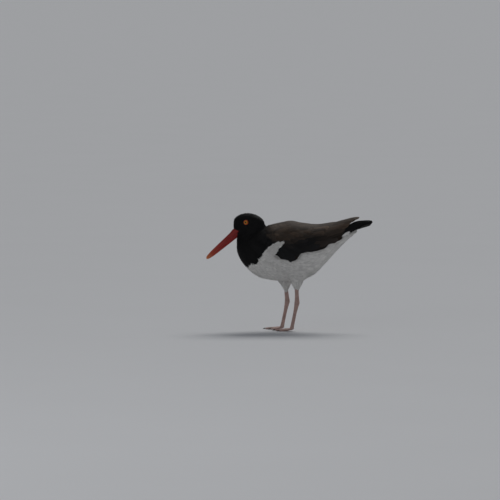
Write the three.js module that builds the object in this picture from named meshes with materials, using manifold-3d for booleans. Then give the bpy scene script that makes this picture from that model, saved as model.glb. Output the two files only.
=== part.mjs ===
// An American oystercatcher standing at rest, head sunk on its shoulders and bill pointing down.
// Millimetres. +X runs from bill to tail, +Z is up, and the bird's left side is on -Y.
// The origin is on the ground, midway between the bill's tip and the wing tips.
import * as THREE from 'three';
import { mergeVertices } from 'three/addons/utils/BufferGeometryUtils.js';
import Module from 'manifold-3d';

const wasm = await Module();
wasm.setup();

// Driving sizes
const GAP = 0.3; // left between neighbours
const HALF_LENGTH = 185; // from the origin to the bill's tip, and to the wing tips
const BILL = { length: 84, pitch: 41.1, baseX: -119.3, baseZ: 213, buried: 16 };
const EYE = { x: -95.7, z: 239, radius: 4.6, sunk: 2.9, ringRadius: 4.9, ringThickness: 1.0 };
const TAIL = { rootX: 96, rootZ: 207, tipX: 183, slope: 17.5, feathers: 12, width: 12, fan: 1.9 };
const LEG = { spread: 21, ankleHeight: 62.7, tarsusLean: 11.5, footHeight: 6 };
const TOES = [
  { name: 'inner', turn: -32, length: 31, thickness: 6.2 },
  { name: 'middle', turn: 0, length: 38, thickness: 6.8 },
  { name: 'outer', turn: 30, length: 33, thickness: 6.2 },
];
const SIDES = [
  { name: 'left', sign: -1, ankleX: 16.5, thighX: 17, cuffX: 15.6, cuffZ: 92 },
  { name: 'right', sign: 1, ankleX: -4.4, thighX: -12, cuffX: -7.3, cuffZ: 89 },
];

// Outlines. Each row is a section of the body across its length: top, widest level, bottom, half width.
const TORSO = sections(['x', 'top', 'waist', 'low', 'half'], [
  [-117, 214, 184, 132, 34],
  [-95, 220, 183, 124, 41],
  [-60, 226, 180, 114, 47],
  [-20, 231, 177, 109, 49.5],
  [20, 231.5, 176, 109.5, 48],
  [50, 228, 181, 120, 43],
  [75, 225.5, 189, 143, 36],
  [104, 223, 201, 175, 26.5],
  [128, 222.5, 211, 199, 19],
  [148, 224, 219.5, 216, 13],
]);
const TORSO_ENDS = { front: -117, back: 148, frontRound: 62, backRound: 6 };

// Level sections of the head and neck: front, back, half width, and how much narrower the front is.
const NECK = sections(['z', 'front', 'back', 'half', 'taper'], [
  [150, -112, -60, 33, 0.1],
  [172, -115.5, -46, 34.5, 0.12],
  [188, -116.6, -38, 33.5, 0.14],
  [203, -116.4, -41, 28.5, 0.2],
  [216, -121, -47, 23.5, 0.34],
  [228, -123.6, -52, 21.2, 0.4],
  [238.7, -123.4, -56, 20, 0.32],
  [247.5, -122.5, -60, 18.4, 0.24],
  [258.3, -121, -64, 16.5, 0.2],
]);
const NECK_ENDS = { low: 150, high: 258.3, lowRound: 8, highRound: 17 };

// Outer surface of the folded wings and the back, by the same kind of section as the torso.
const CLOAK = sections(['x', 'top', 'waist', 'low', 'half'], [
  [-58, 229, 181, 112, 50],
  [-40, 232.3, 180, 108, 52.5],
  [-20, 236.8, 178, 105, 54],
  [3, 240.6, 178, 104, 54.5],
  [28, 236.6, 180, 106, 52.5],
  [60, 233.6, 189, 122, 45.5],
  [90, 237, 201, 152, 36],
  [120, 244.5, 214, 184, 26],
  [150, 250.5, 229, 206, 17],
  [186, 246, 236, 226, 10],
]);
// Lower edge of the folded wing, seen from the side.
const WING_EDGE = sections(['x', 'z'], [
  [-58, 205], [-36, 167], [-14, 156], [6, 147.4], [16, 152], [24, 164], [42, 170.5], [66, 177],
  [88, 187], [112, 196], [120, 204], [126, 217], [140, 223.5], [155, 229.5], [186, 239],
]);

// Where the plumage is parted into named pieces: lines seen from the side, x and z.
const HOOD_LINE = [[-132, 128], [-97.9, 144], [-84, 150], [-72, 155], [-63, 163], [-55, 177], [-45, 186], [-38, 197], [-36, 215], [-36, 245]];
const HEAD_LINE = [[-132, 192], [-114, 202], [-85, 214], [-50, 230], [-40, 235]];

// Materials
const finish = (color, roughness) => new THREE.MeshStandardMaterial({ color, roughness, metalness: 0 });
const BLACK = finish(0x0d0d0e, 0.6);
const BROWN = finish(0x33271f, 0.7);
const WHITE = finish(0xd9d7d2, 0.85);
const TAIL_BLACK = finish(0x16130f, 0.65);
const BILL_RED = finish(0xb3260f, 0.35);
const IRIS = finish(0xd98a1a, 0.15);
const LID_RED = finish(0xc8401a, 0.5);
const LEG_PINK = finish(0xb58d80, 0.6);

// Tools

// A smooth table: rows of numbers give one function for each column after the first.
function sections(names, rows) {
  const at = rows.map((row) => row[0]);
  const columns = {};
  names.slice(1).forEach((name, k) => {
    columns[name] = monotone(at, rows.map((row) => row[k + 1]));
  });
  return columns;
}

// A cubic through points that never overshoots them.
function monotone(at, value) {
  const steps = at.slice(1).map((x, i) => (value[i + 1] - value[i]) / (x - at[i]));
  const slopes = at.map((_, i) => {
    if (i === 0) return steps[0];
    if (i === at.length - 1) return steps[i - 1];
    const [a, b] = [steps[i - 1], steps[i]];
    return a * b <= 0 ? 0 : (2 * a * b) / (a + b);
  });
  return (x) => {
    const held = Math.min(Math.max(x, at[0]), at[at.length - 1]);
    let i = at.findIndex((start) => start > held) - 1;
    if (i < 0) i = at.length - 2;
    const width = at[i + 1] - at[i];
    const t = (held - at[i]) / width;
    const rise = value[i + 1] - value[i];
    const bend = (slopes[i] * width - rise) * (1 - t) - (slopes[i + 1] * width - rise) * t;
    return value[i] + t * rise + t * (1 - t) * bend;
  };
}

const radians = THREE.MathUtils.degToRad;
const lerp = THREE.MathUtils.lerp;
const clamp = THREE.MathUtils.clamp;

// 0 at an end, and 1 from the given distance inwards, along a quarter circle.
const roundOff = (distance, radius) => Math.sqrt(Math.max(0, 1 - Math.max(0, 1 - distance / radius) ** 2));

// A closed solid from a three.js geometry, facing outwards.
function solid(geometry, matrix = new THREE.Matrix4()) {
  const bare = geometry.clone().applyMatrix4(matrix);
  bare.deleteAttribute('normal');
  bare.deleteAttribute('uv');
  const merged = mergeVertices(bare, 1e-4);
  const triangles = [];
  const index = merged.index.array;
  for (let i = 0; i < index.length; i += 3) {
    const [a, b, c] = [index[i], index[i + 1], index[i + 2]];
    if (a !== b && b !== c && c !== a) triangles.push(a, b, c);
  }
  const made = (triVerts) => new wasm.Manifold(new wasm.Mesh({
    numProp: 3,
    vertProperties: merged.attributes.position.array,
    triVerts: Uint32Array.from(triVerts),
  }));
  const first = made(triangles);
  return first.volume() > 0 ? first : made(triangles.reverse());
}

// Rings of points round an axis, closed at both ends by a fan round that end's centre.
function loft(stations, around, centre, rim) {
  const last = stations.length + 1;
  const geometry = new THREE.SphereGeometry(1, around, last);
  const place = geometry.attributes.position;
  for (let ring = 0; ring <= last; ring++) {
    const station = stations[clamp(ring - 1, 0, stations.length - 1)];
    for (let j = 0; j <= around; j++) {
      const angle = ((j % around) / around) * 2 * Math.PI;
      const point = ring === 0 || ring === last ? centre(station) : rim(station, angle);
      place.setXYZ(ring * (around + 1) + j, point.x, point.y, point.z);
    }
  }
  return solid(geometry);
}

// A thin plate on a grid, both faces split alike and closed round the edge. face is 0 below and 1 above.
function plate(alongCount, acrossCount, point) {
  const positions = [];
  const row = acrossCount + 1;
  const faceSize = (alongCount + 1) * row;
  for (const face of [0, 1])
    for (let i = 0; i <= alongCount; i++)
      for (let j = 0; j <= acrossCount; j++) positions.push(...point(i / alongCount, j / acrossCount, face).toArray());
  const index = [];
  const quad = (a, b, c, d) => index.push(a, b, c, a, c, d);
  for (let i = 0; i < alongCount; i++)
    for (let j = 0; j < acrossCount; j++) {
      const [a, b, c, d] = [i * row + j, (i + 1) * row + j, (i + 1) * row + j + 1, i * row + j + 1];
      index.push(a, c, b, a, d, c);
      index.push(a + faceSize, b + faceSize, c + faceSize, a + faceSize, c + faceSize, d + faceSize);
    }
  for (let i = 0; i < alongCount; i++) {
    const [a, b] = [i * row, (i + 1) * row];
    quad(a, b, b + faceSize, a + faceSize);
    const [c, d] = [a + acrossCount, b + acrossCount];
    quad(d, c, c + faceSize, d + faceSize);
  }
  for (let j = 0; j < acrossCount; j++) {
    quad(j + 1, j, j + faceSize, j + 1 + faceSize);
    const end = alongCount * row + j;
    quad(end, end + 1, end + 1 + faceSize, end + faceSize);
  }
  const geometry = new THREE.BufferGeometry();
  geometry.setAttribute('position', new THREE.Float32BufferAttribute(positions, 3));
  geometry.setIndex(index);
  return solid(geometry);
}

// A thin blade across the body along a line seen from the side.
function blade(line) {
  const curve = new THREE.SplineCurve(line.map(([x, z]) => new THREE.Vector2(x, z)));
  const count = 16;
  const edge = (side) => Array.from({ length: count + 1 }, (_, i) => {
    const along = curve.getTangent(i / count);
    return curve.getPoint(i / count).add(new THREE.Vector2(-along.y, along.x).multiplyScalar((side * GAP) / 2));
  });
  const depth = 160;
  const outline = new THREE.Shape([...edge(1), ...edge(-1).reverse()]);
  const geometry = new THREE.ExtrudeGeometry(outline, { depth, bevelEnabled: false });
  return solid(geometry, new THREE.Matrix4().makeRotationX(Math.PI / 2).premultiply(new THREE.Matrix4().makeTranslation(0, depth / 2, 0)));
}

const join = (pieces) => pieces.slice(1).reduce((all, piece) => all.add(piece), pieces[0]);
const cut = (piece, ...tools) => tools.reduce((left, tool) => left.subtract(tool), piece);
const largest = (piece) => piece.decompose().sort((a, b) => b.volume() - a.volume())[0];
const spaced = (from, to, count) => Array.from({ length: count + 1 }, (_, i) => lerp(from, to, i / count));
// Closer together near both ends, as on a sphere.
const rounded = (from, to, count) => spaced(0.04, 0.96, count).map((t) => lerp(from, to, (1 - Math.cos(t * Math.PI)) / 2));

const bird = new THREE.Group();
function node(name, piece, material) {
  const { numProp, vertProperties, triVerts } = largest(piece).getMesh();
  const geometry = new THREE.BufferGeometry();
  geometry.setAttribute('position', new THREE.InterleavedBufferAttribute(new THREE.InterleavedBuffer(vertProperties, numProp), 3, 0));
  geometry.setIndex(new THREE.BufferAttribute(triVerts, 1));
  const mesh = new THREE.Mesh(geometry.toNonIndexed(), material);
  mesh.name = name;
  mesh.geometry.computeVertexNormals();
  bird.add(mesh);
}

// Body

// A point on a section across the length: angle 0 is the top, a quarter turn is the +Y side.
function onSection(shape, x, angle, grow = 0, size = 1) {
  const waist = shape.waist(x);
  const reach = Math.cos(angle) > 0 ? shape.top(x) - waist : waist - shape.low(x);
  return new THREE.Vector3(x, (shape.half(x) * size + grow) * Math.sin(angle), waist + (reach * size + grow) * Math.cos(angle));
}

function torsoLoft(grow) {
  const { front, back, frontRound, backRound } = TORSO_ENDS;
  const size = (x) => roundOff(x - front, frontRound) * roundOff(back - x, backRound);
  return loft(
    rounded(front, back, 20), 26,
    (x) => new THREE.Vector3(x + (x < 0 ? -grow : grow) , 0, TORSO.waist(x)),
    (x, angle) => onSection(TORSO, x, angle, grow, size(x)),
  );
}

// A point on a level section of the head or neck: angle 0 is the back, a quarter turn is the +Y side.
function onNeck(z, angle, grow = 0, size = 1) {
  const middle = (NECK.front(z) + NECK.back(z)) / 2;
  const reach = (NECK.back(z) - NECK.front(z)) / 2;
  const narrow = 1 - NECK.taper(z) * (0.5 - 0.5 * Math.cos(angle));
  return new THREE.Vector3(
    middle + (reach * size + grow) * Math.cos(angle),
    (NECK.half(z) * size * narrow + grow) * Math.sin(angle) * ((1 + 0.1 * Math.cos(2 * angle)) / 0.9),
    z,
  );
}

function neckLoft(grow) {
  const { low, high, lowRound, highRound } = NECK_ENDS;
  const size = (z) => roundOff(z - low, lowRound) * roundOff(high - z, highRound);
  return loft(
    rounded(low, high, 16), 22,
    (z) => new THREE.Vector3(-93, 0, z + (z > 200 ? grow : -grow)),
    (z, angle) => onNeck(z, angle, grow, size(z)),
  );
}

const body = join([torsoLoft(0), neckLoft(0)]);
const bodyCover = join([torsoLoft(GAP), neckLoft(GAP)]);

// Eyes

// The head's surface beside the eye, on the +Y side.
function headSide(x, z) {
  const { high, highRound } = NECK_ENDS;
  const size = roundOff(high - z, highRound);
  const steps = spaced(0, Math.PI, 60).map((angle) => onNeck(z, angle, 0, size));
  return steps.reduce((best, point) => (Math.abs(point.x - x) < Math.abs(best.x - x) ? point : best)).y;
}

const eyeOut = headSide(EYE.x, EYE.z);
const EYE_TILT = 14; // the eye looks a little forwards
function eyeFrame(sign, out) {
  return new THREE.Matrix4()
    .makeRotationZ(radians(sign * EYE_TILT))
    .premultiply(new THREE.Matrix4().makeTranslation(EYE.x, sign * out, EYE.z));
}
const eyeball = (sign, grow) => solid(new THREE.SphereGeometry(EYE.radius + grow, 16, 10), eyeFrame(sign, eyeOut - EYE.sunk));
function eyeRing(sign, grow) {
  const ring = new THREE.TorusGeometry(EYE.ringRadius, EYE.ringThickness + grow, 6, 18).rotateX(Math.PI / 2);
  return solid(ring, eyeFrame(sign, eyeOut - 0.2));
}

// Bill

const billAxis = new THREE.Matrix4()
  .makeRotationY(-radians(BILL.pitch))
  .premultiply(new THREE.Matrix4().makeTranslation(BILL.baseX, 0, BILL.baseZ));
// Along the bill from its base: height above and below the middle line, and half width.
const BILL_SHAPE = sections(['s', 'up', 'down', 'half'], [
  [-16, 10.5, 10, 8],
  [0, 9.6, 9.2, 6.6],
  [20, 8.4, 8.2, 5.2],
  [45, 7.3, 7, 3.9],
  [66, 6, 5.6, 2.8],
  [78, 4.4, 3.8, 2.1],
  [84, 2.4, 1.8, 1.4],
]);
const MOUTH_LEVEL = -0.8;
function billLoft() {
  return loft(
    [...spaced(-BILL.buried, 60, 7), 68, 74, 79, 82.5, BILL.length], 14,
    (s) => new THREE.Vector3(-s, 0, 0),
    (s, angle) => new THREE.Vector3(
      -s,
      BILL_SHAPE.half(s) * Math.sin(angle),
      (Math.cos(angle) > 0 ? BILL_SHAPE.up(s) : BILL_SHAPE.down(s)) * Math.cos(angle),
    ),
  );
}
const slab = (height, width, x, y, z) => solid(new THREE.BoxGeometry(200, width, height), new THREE.Matrix4().makeTranslation(x, y, z));
function nostril(sign) {
  const slot = new THREE.SphereGeometry(1, 10, 8).scale(6.5, 0.9, 0.9);
  return solid(slot, new THREE.Matrix4().makeTranslation(-19, sign * 4.85, 3));
}
function billHalf(upper) {
  const level = MOUTH_LEVEL + (upper ? GAP / 2 : -GAP / 2);
  const keep = slab(40, 60, 0, 0, upper ? level + 20 : level - 20);
  const half = cut(billLoft().intersect(keep), ...(upper ? [nostril(1), nostril(-1)] : []));
  return cut(half.transform(billAxis.elements), bodyCover);
}

// Wings and back

// A point on the wing's outer surface, sunk by a depth: angle 0 is the top of the back.
function onCloak(sign, x, angle, depth = 0) {
  const step = 0.5;
  const here = onSection(CLOAK, x, angle);
  const alongX = onSection(CLOAK, x + step, angle).sub(onSection(CLOAK, x - step, angle));
  const round = onSection(CLOAK, x, angle + 0.02).sub(onSection(CLOAK, x, angle - 0.02));
  const out = new THREE.Vector3().crossVectors(round, alongX).normalize();
  if (out.dot(new THREE.Vector3(0, Math.sin(angle), Math.cos(angle))) < 0) out.negate();
  here.addScaledVector(out, -depth);
  here.y *= sign;
  return here;
}
// The angle at which the wing's surface comes down to a height.
function angleAt(x, z) {
  const waist = CLOAK.waist(x);
  const reach = z > waist ? CLOAK.top(x) - waist : waist - CLOAK.low(x);
  return Math.acos(clamp((z - waist) / reach, -1, 1));
}
const MANTLE = { front: -56, back: 52, frontAngle: 46, backAngle: 3, feathersTall: 4 };
const mantleAngle = (x) => radians(lerp(MANTLE.frontAngle, MANTLE.backAngle, clamp((x - MANTLE.front) / (MANTLE.back - MANTLE.front), 0, 1) ** 0.8));
const SHIELD = { front: -54, back: 121, deep: 9, thin: 2.2, edge: 1.2 };
// The angle for a share of the way from the wing's upper edge, 0, to its lower edge, 1.
const wingAngle = (x, share) => lerp(
  mantleAngle(x) + (x > MANTLE.back ? GAP / 2 / CLOAK.half(x) : 0),
  angleAt(x, WING_EDGE.z(x)),
  share,
);

function wingShield(sign) {
  return plate(12, 6, (u, v, face) => {
    const x = lerp(SHIELD.front, SHIELD.back, u);
    const depth = lerp(SHIELD.deep, SHIELD.thin, clamp((x - 60) / 30, 0, 1));
    const fall = SHIELD.edge * (2 * v - 1) ** 6;
    return onCloak(sign, x, wingAngle(x, v), face ? fall : Math.max(depth, fall + 1));
  });
}
const mantlePlate = (grow, tall) => plate(9, 6, (u, v, face) => {
  const x = lerp(MANTLE.front - grow, MANTLE.back + 2 * grow, u);
  const angle = lerp(-1, 1, v) * (mantleAngle(x) + grow / CLOAK.half(x));
  return onCloak(1, x, angle, face ? -tall : SHIELD.deep + 3 * grow);
});

// Feathers

// The same run of numbers each time for one seed, from -1 to 1.
function seeded(seed) {
  let state = seed;
  return () => {
    state = (state * 16807) % 2147483647;
    return (2 * state) / 2147483647 - 1;
  };
}
const arcRadius = (x, angle) => onSection(CLOAK, x, angle + 0.01).distanceTo(onSection(CLOAK, x, angle - 0.01)) / 0.02;

// A thin feather laid over the wings' surface from its root to its tip, each given as x and an angle.
// It rises from a root sunk under the surface to a tip lifted off it, and one long edge lies over its neighbour.
function vane(sign, { from, to, half, along = 2, across = 1, sunk = 1.6, lift = 0.9, thickness = 0.85, roll = -0.5, grow = 0, above = 0 }) {
  const turn = (to[1] - from[1]) * arcRadius(from[0], from[1]);
  const length = Math.hypot(to[0] - from[0], turn);
  const [ahead, aside] = [(to[0] - from[0]) / length, turn / length];
  return plate(along, across, (u, v, face) => {
    const side = 2 * v - 1;
    const reach = u * (1 + grow / length) + ((0.55 * half) / length) * (1 - side * side) * u ** 4;
    const offset = side * (half * lerp(0.6, 1, clamp(u / 0.5, 0, 1)) * (u === 1 ? 0.62 : 1) + grow);
    const x = lerp(from[0], to[0], reach) - aside * offset;
    const middle = lerp(from[1], to[1], reach);
    const angle = middle + (ahead * offset) / arcRadius(x, middle);
    const height = lerp(-sunk, lift, u) + roll * side + (face ? thickness * lerp(1, 0.65, u) + grow + above : -grow);
    return onCloak(sign, x, angle, -height);
  });
}

// Tiers of the folded wing, upper ones over lower ones. Roots and tips run between a front and a back end,
// each end given as x and the share of the way down the wing.
const TIERS = [
  { name: 'secondaries', count: 3, roots: [[62, 0.95], [68, 0.8]], tips: [[114, 0.97], [122, 0.75]], half: 5.6, lift: -0.2 },
  { name: 'greater coverts', count: 9, roots: [[-44, 0.76], [54, 0.8]], tips: [[-12, 1.0], [103, 1.0]], half: 4.7, lift: 0.7 },
  { name: 'median coverts', count: 8, roots: [[-46, 0.54], [40, 0.57]], tips: [[-17, 0.76], [82, 0.79]], half: 4.7, lift: 0.9 },
  { name: 'lesser coverts', count: 7, roots: [[-48, 0.32], [24, 0.36]], tips: [[-22, 0.52], [58, 0.56]], half: 4.6, lift: 1.1 },
  { name: 'scapulars', count: 5, roots: [[-46, 0.13], [26, 0.14]], tips: [[-20, 0.27], [62, 0.3]], half: 4.8, lift: 1.3 },
  { name: 'tertials', count: 4, roots: [[50, 0.48], [60, 0.14]], tips: [[132, 0.58], [152, 0.2]], half: 6.6, along: 3, across: 2, lift: 0.3, thickness: 1.1 },
  { name: 'primaries', count: 4, roots: [[96, 0.82], [112, 0.62]], tips: [[158, 0.9], [HALF_LENGTH - 2.6, 0.66]], half: 3.6, along: 3, across: 2, lift: -1.5, sunk: 1.4, thickness: 1, roll: 0.5 },
];
function tier(sign, random, { count, roots, tips, ...rest }) {
  return Array.from({ length: count }, (_, i) => {
    const t = i / (count - 1);
    const at = ([front, back], stray) => {
      const x = lerp(front[0], back[0], t) + stray * random();
      return [x, wingAngle(x, lerp(front[1], back[1], t) + 0.006 * stray * random())];
    };
    return vane(sign, { from: at(roots, 0), to: at(tips, t < 1 ? 1.6 : 0), ...rest });
  });
}
const besideMiddle = (sign) => slab(300, 60, 100, -sign * (30 - GAP), 200);
function wing(sign) {
  const random = seeded(sign > 0 ? 71 : 29);
  const feathers = TIERS.flatMap((each) => tier(sign, random, each));
  return cut(join([wingShield(sign), ...feathers]), besideMiddle(sign));
}

// The back between the wings: three tiers, kept inside its own outline.
const BACK_TIERS = [{ root: 6, tip: 44, count: 3 }, { root: -20, tip: 18, count: 5 }, { root: -46, tip: -10, count: 6 }];
function backFeathers() {
  const random = seeded(11);
  const feathers = BACK_TIERS.flatMap(({ root, tip, count }, k) => Array.from({ length: count }, (_, i) => {
    const side = (2 * (i + 0.5)) / count - 1;
    const end = tip - 8 * Math.abs(side) + 1.4 * random();
    return vane(1, { from: [root, side * mantleAngle(root) * 0.9], to: [end, side * mantleAngle(end) * 0.95], half: 5.4, lift: 0.4 + 0.3 * k, roll: -0.5 * Math.sign(side) });
  }));
  return join(feathers).intersect(mantlePlate(0, MANTLE.feathersTall));
}

// White flank feathers that lie up over the front of the folded wing.
const SPUR = { count: 5, roots: [[-48, 167], [-42, 177]], tips: [[-24, 171], [-16, 199]], half: 4.6 };
function spur(sign, grow, above = 0) {
  const at = ([low, high], t) => {
    const [x, z] = [lerp(low[0], high[0], t), lerp(low[1], high[1], t)];
    return [x, angleAt(x, z)];
  };
  return Array.from({ length: SPUR.count }, (_, i) => vane(sign, {
    from: at(SPUR.roots, i / (SPUR.count - 1)),
    to: at(SPUR.tips, i / (SPUR.count - 1)),
    half: SPUR.half,
    sunk: 4.5,
    lift: 1.6,
    thickness: 1.1,
    roll: 0.3,
    grow,
    above,
  }));
}

// Legs

const legPath = (side) => {
  const lean = (LEG.ankleHeight - LEG.footHeight) * Math.tan(radians(LEG.tarsusLean));
  const y = side.sign * LEG.spread;
  return [
    new THREE.Vector3(side.cuffX - 0.6, y, side.cuffZ + 12),
    new THREE.Vector3(side.cuffX, y, side.cuffZ),
    new THREE.Vector3(side.ankleX, y, LEG.ankleHeight),
    new THREE.Vector3(side.ankleX - lean, y, LEG.footHeight),
  ];
};
// Across the leg, half way through each stretch: the feathered cuff, bare shin, ankle and tarsus.
const SHANK = sections(['z', 'front', 'side'], [
  [5, 4.6, 4.2],
  [14, 3.7, 3.2],
  [40, 3.6, 3],
  [54, 4.6, 3.6],
  [62, 5.6, 4.4],
  [70, 4.7, 3.9],
  [84, 4.1, 3.7],
  [100, 4.3, 4],
]);
function shankLoft(side) {
  const path = legPath(side);
  const middle = (z) => {
    const k = z > LEG.ankleHeight ? 1 : 2;
    const [top, bottom] = z > side.cuffZ ? [path[0], path[1]] : [path[k], path[k + 1]];
    return new THREE.Vector3().lerpVectors(bottom, top, (z - bottom.z) / (top.z - bottom.z));
  };
  const heights = [LEG.footHeight + 2, 12, 22, 36, 48, 55, 59, 63, 67, 73, 82, side.cuffZ + 8];
  return loft(heights, 12, (z) => middle(z), (z, angle) => middle(z).add(
    new THREE.Vector3(SHANK.front(z) * Math.cos(angle), SHANK.side(z) * Math.sin(angle), 0),
  ));
}
// Feathered thigh, wide at the belly and close round the shin at the cuff.
function thighLoft(side, grow) {
  const heights = [side.cuffZ, side.cuffZ + 3, 100, 106, 113, 122, 134];
  const share = (z) => clamp((z - side.cuffZ) / 40, 0, 1);
  const middle = (z) => new THREE.Vector3(lerp(side.cuffX, side.thighX, share(z)), side.sign * lerp(LEG.spread, 24, share(z)), z);
  return loft(heights, 18,
    (z) => middle(z).add(new THREE.Vector3(0, 0, z < 110 ? -grow : grow)),
    (z, angle) => middle(z).add(new THREE.Vector3(
      (lerp(5.6, 30, share(z) ** 0.8) + grow) * Math.cos(angle),
      (lerp(5.2, 17, share(z) ** 0.9) + grow) * Math.sin(angle),
      0,
    )));
}

function toe({ turn, length, thickness }, foot, sign) {
  const heading = radians(sign * turn);
  const stations = [...spaced(-3, length * 0.86, 5), length * 0.93];
  const thick = (s) => thickness * (0.5 + 0.06 * Math.cos((s / length) * 6 * Math.PI)) * lerp(1, 0.62, s / length);
  const digit = loft(stations, 8, (s) => new THREE.Vector3(-s, 0, thick(s) * 0.8), (s, angle) => new THREE.Vector3(
    -s,
    thick(s) * Math.sin(angle) * (s > length * 0.9 ? 0.75 : 1),
    Math.max(0, thick(s) * (0.8 + Math.cos(angle))),
  ));
  const claw = loft(spaced(length * 0.86, length + 4.5, 3), 6, (s) => new THREE.Vector3(-s, 0, 2), (s, angle) => {
    const share = (s - length * 0.86) / (length * 0.14 + 4.5);
    const half = lerp(1.7, 0.5, share);
    return new THREE.Vector3(-s, half * Math.sin(angle), lerp(3, 1.4, share ** 1.5) + half * Math.cos(angle));
  });
  const place = new THREE.Matrix4().makeRotationZ(heading).premultiply(new THREE.Matrix4().makeTranslation(foot.x, foot.y, 0));
  return join([digit, claw]).transform(place.elements);
}
function footSolid(side) {
  const foot = legPath(side)[3].clone();
  const hub = loft([0, 2.5, 5.5, LEG.footHeight + 1.6], 10, (z) => new THREE.Vector3(foot.x, foot.y, z), (z, angle) => new THREE.Vector3(
    foot.x + lerp(6.2, 4.8, z / 8) * Math.cos(angle), foot.y + lerp(5.8, 4.3, z / 8) * Math.sin(angle), z,
  ));
  // The web between the middle and outer toes reaches their first joint.
  const web = new THREE.Shape([new THREE.Vector2(0, -1), new THREE.Vector2(-17, -1), new THREE.Vector2(-12, 3.6), new THREE.Vector2(-14.5, 9), new THREE.Vector2(0, 2)]
    .map((p) => new THREE.Vector2(p.x, p.y * side.sign)));
  const skin = solid(new THREE.ExtrudeGeometry(web, { depth: 1.6, bevelEnabled: false }), new THREE.Matrix4().makeTranslation(foot.x, foot.y, 0.9));
  return join([hub, skin, ...TOES.map((each) => toe(each, foot, side.sign))]);
}

// Tail

function tailFeather(k) {
  // Counted outwards from the middle pair: the outer feathers lie lower.
  const sign = k % 2 ? 1 : -1;
  const rank = Math.floor(k / 2);
  const yaw = radians(TAIL.fan * (rank + 0.5)) * sign;
  const length = (TAIL.tipX - TAIL.rootX - rank * 1.2) / Math.cos(radians(TAIL.slope));
  return plate(4, 2, (u, v, face) => {
    const along = u * length;
    const half = (TAIL.width / 2) * (u < 0.8 ? lerp(0.55, 1, u / 0.8) : roundOff(1.06 - u, 0.26));
    const across = (2 * v - 1) * half;
    const level = -rank * 0.75 * lerp(0.4, 1, u) - sign * across * 0.05 + (face ? 0.9 : 0);
    return new THREE.Vector3(
      TAIL.rootX + along * Math.cos(radians(TAIL.slope)) * Math.cos(yaw),
      sign * 1 + along * Math.sin(yaw) + across,
      TAIL.rootZ + along * Math.sin(radians(TAIL.slope)) + level,
    );
  });
}
const rectrices = join(Array.from({ length: TAIL.feathers }, (_, k) => tailFeather(k)));

// Parting the body

const inTheMiddle = (piece) => {
  const box = piece.boundingBox();
  return new THREE.Vector3(...box.min).add(new THREE.Vector3(...box.max)).multiplyScalar(0.5);
};
const sockets = SIDES.flatMap(({ sign }) => [eyeball(sign, GAP), eyeRing(sign, GAP)]);
const parted = cut(body, blade(HOOD_LINE), blade(HEAD_LINE), ...sockets)
  .decompose()
  .sort((a, b) => b.volume() - a.volume())
  .slice(0, 3);
const torso = parted[0];
const [head, neck] = parted.slice(1).sort((a, b) => inTheMiddle(b).z - inTheMiddle(a).z);

node('torso', join([torso, ...spur(1, 0), ...spur(-1, 0)]), WHITE);
node('neck', neck, BLACK);
node('head', head, BLACK);
node('tail', cut(rectrices, bodyCover), TAIL_BLACK);
node('bill_upper', billHalf(true), BILL_RED);
node('bill_lower', billHalf(false), BILL_RED);
node('mantle', cut(join([mantlePlate(0, 0), backFeathers()]), bodyCover), BROWN);
for (const side of SIDES) {
  const { name, sign } = side;
  node(`eye_${name}`, eyeball(sign, 0), IRIS);
  node(`eye_ring_${name}`, cut(eyeRing(sign, 0), eyeball(sign, GAP)), LID_RED);
  node(`wing_${name}`, cut(wing(sign), bodyCover, mantlePlate(2 * GAP, MANTLE.feathersTall + 1), ...spur(sign, GAP, 6)), BROWN);
  node(`thigh_${name}`, cut(thighLoft(side, 0), bodyCover), WHITE);
  node(`shank_${name}`, cut(shankLoft(side), thighLoft(side, GAP)), LEG_PINK);
  node(`foot_${name}`, cut(footSolid(side), slab(40, 200, 0, 0, LEG.footHeight + 2 - GAP + 20)), LEG_PINK);
}

export default bird;
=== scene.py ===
"""An American oystercatcher at rest: skin, feathers, bill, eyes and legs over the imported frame."""
import math

import bpy
import numpy as np
from bpy.props import FloatProperty, FloatVectorProperty, IntProperty, PointerProperty
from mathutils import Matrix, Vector
from mathutils.bvhtree import BVHTree


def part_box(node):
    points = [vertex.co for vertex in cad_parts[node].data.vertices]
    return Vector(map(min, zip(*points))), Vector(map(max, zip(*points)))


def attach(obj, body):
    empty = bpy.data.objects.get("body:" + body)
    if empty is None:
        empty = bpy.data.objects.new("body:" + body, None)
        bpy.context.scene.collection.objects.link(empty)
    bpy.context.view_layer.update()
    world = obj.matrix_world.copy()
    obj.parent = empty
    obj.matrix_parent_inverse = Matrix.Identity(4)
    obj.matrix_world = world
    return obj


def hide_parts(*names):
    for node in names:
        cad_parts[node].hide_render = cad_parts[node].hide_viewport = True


bl_info = {
    "name": "Oystercatcher",
    "version": (1, 0, 0),
    "blender": (4, 5, 0),
    "location": "View3D > Sidebar > Oystercatcher",
    "description": "Dresses a standing American oystercatcher in skin, feathers, bill, eyes and legs",
    "category": "Object",
}

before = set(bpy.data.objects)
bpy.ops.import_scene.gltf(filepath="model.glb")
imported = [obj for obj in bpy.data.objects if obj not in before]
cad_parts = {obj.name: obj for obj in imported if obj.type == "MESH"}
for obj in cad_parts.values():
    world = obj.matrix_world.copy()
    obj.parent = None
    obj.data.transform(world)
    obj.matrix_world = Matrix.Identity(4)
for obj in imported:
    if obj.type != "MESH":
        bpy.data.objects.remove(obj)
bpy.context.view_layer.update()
MM = 0.001
SIDES = {"left": -1, "right": 1}

# The bird's outlines, in millimetres, as the solids have them


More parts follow.
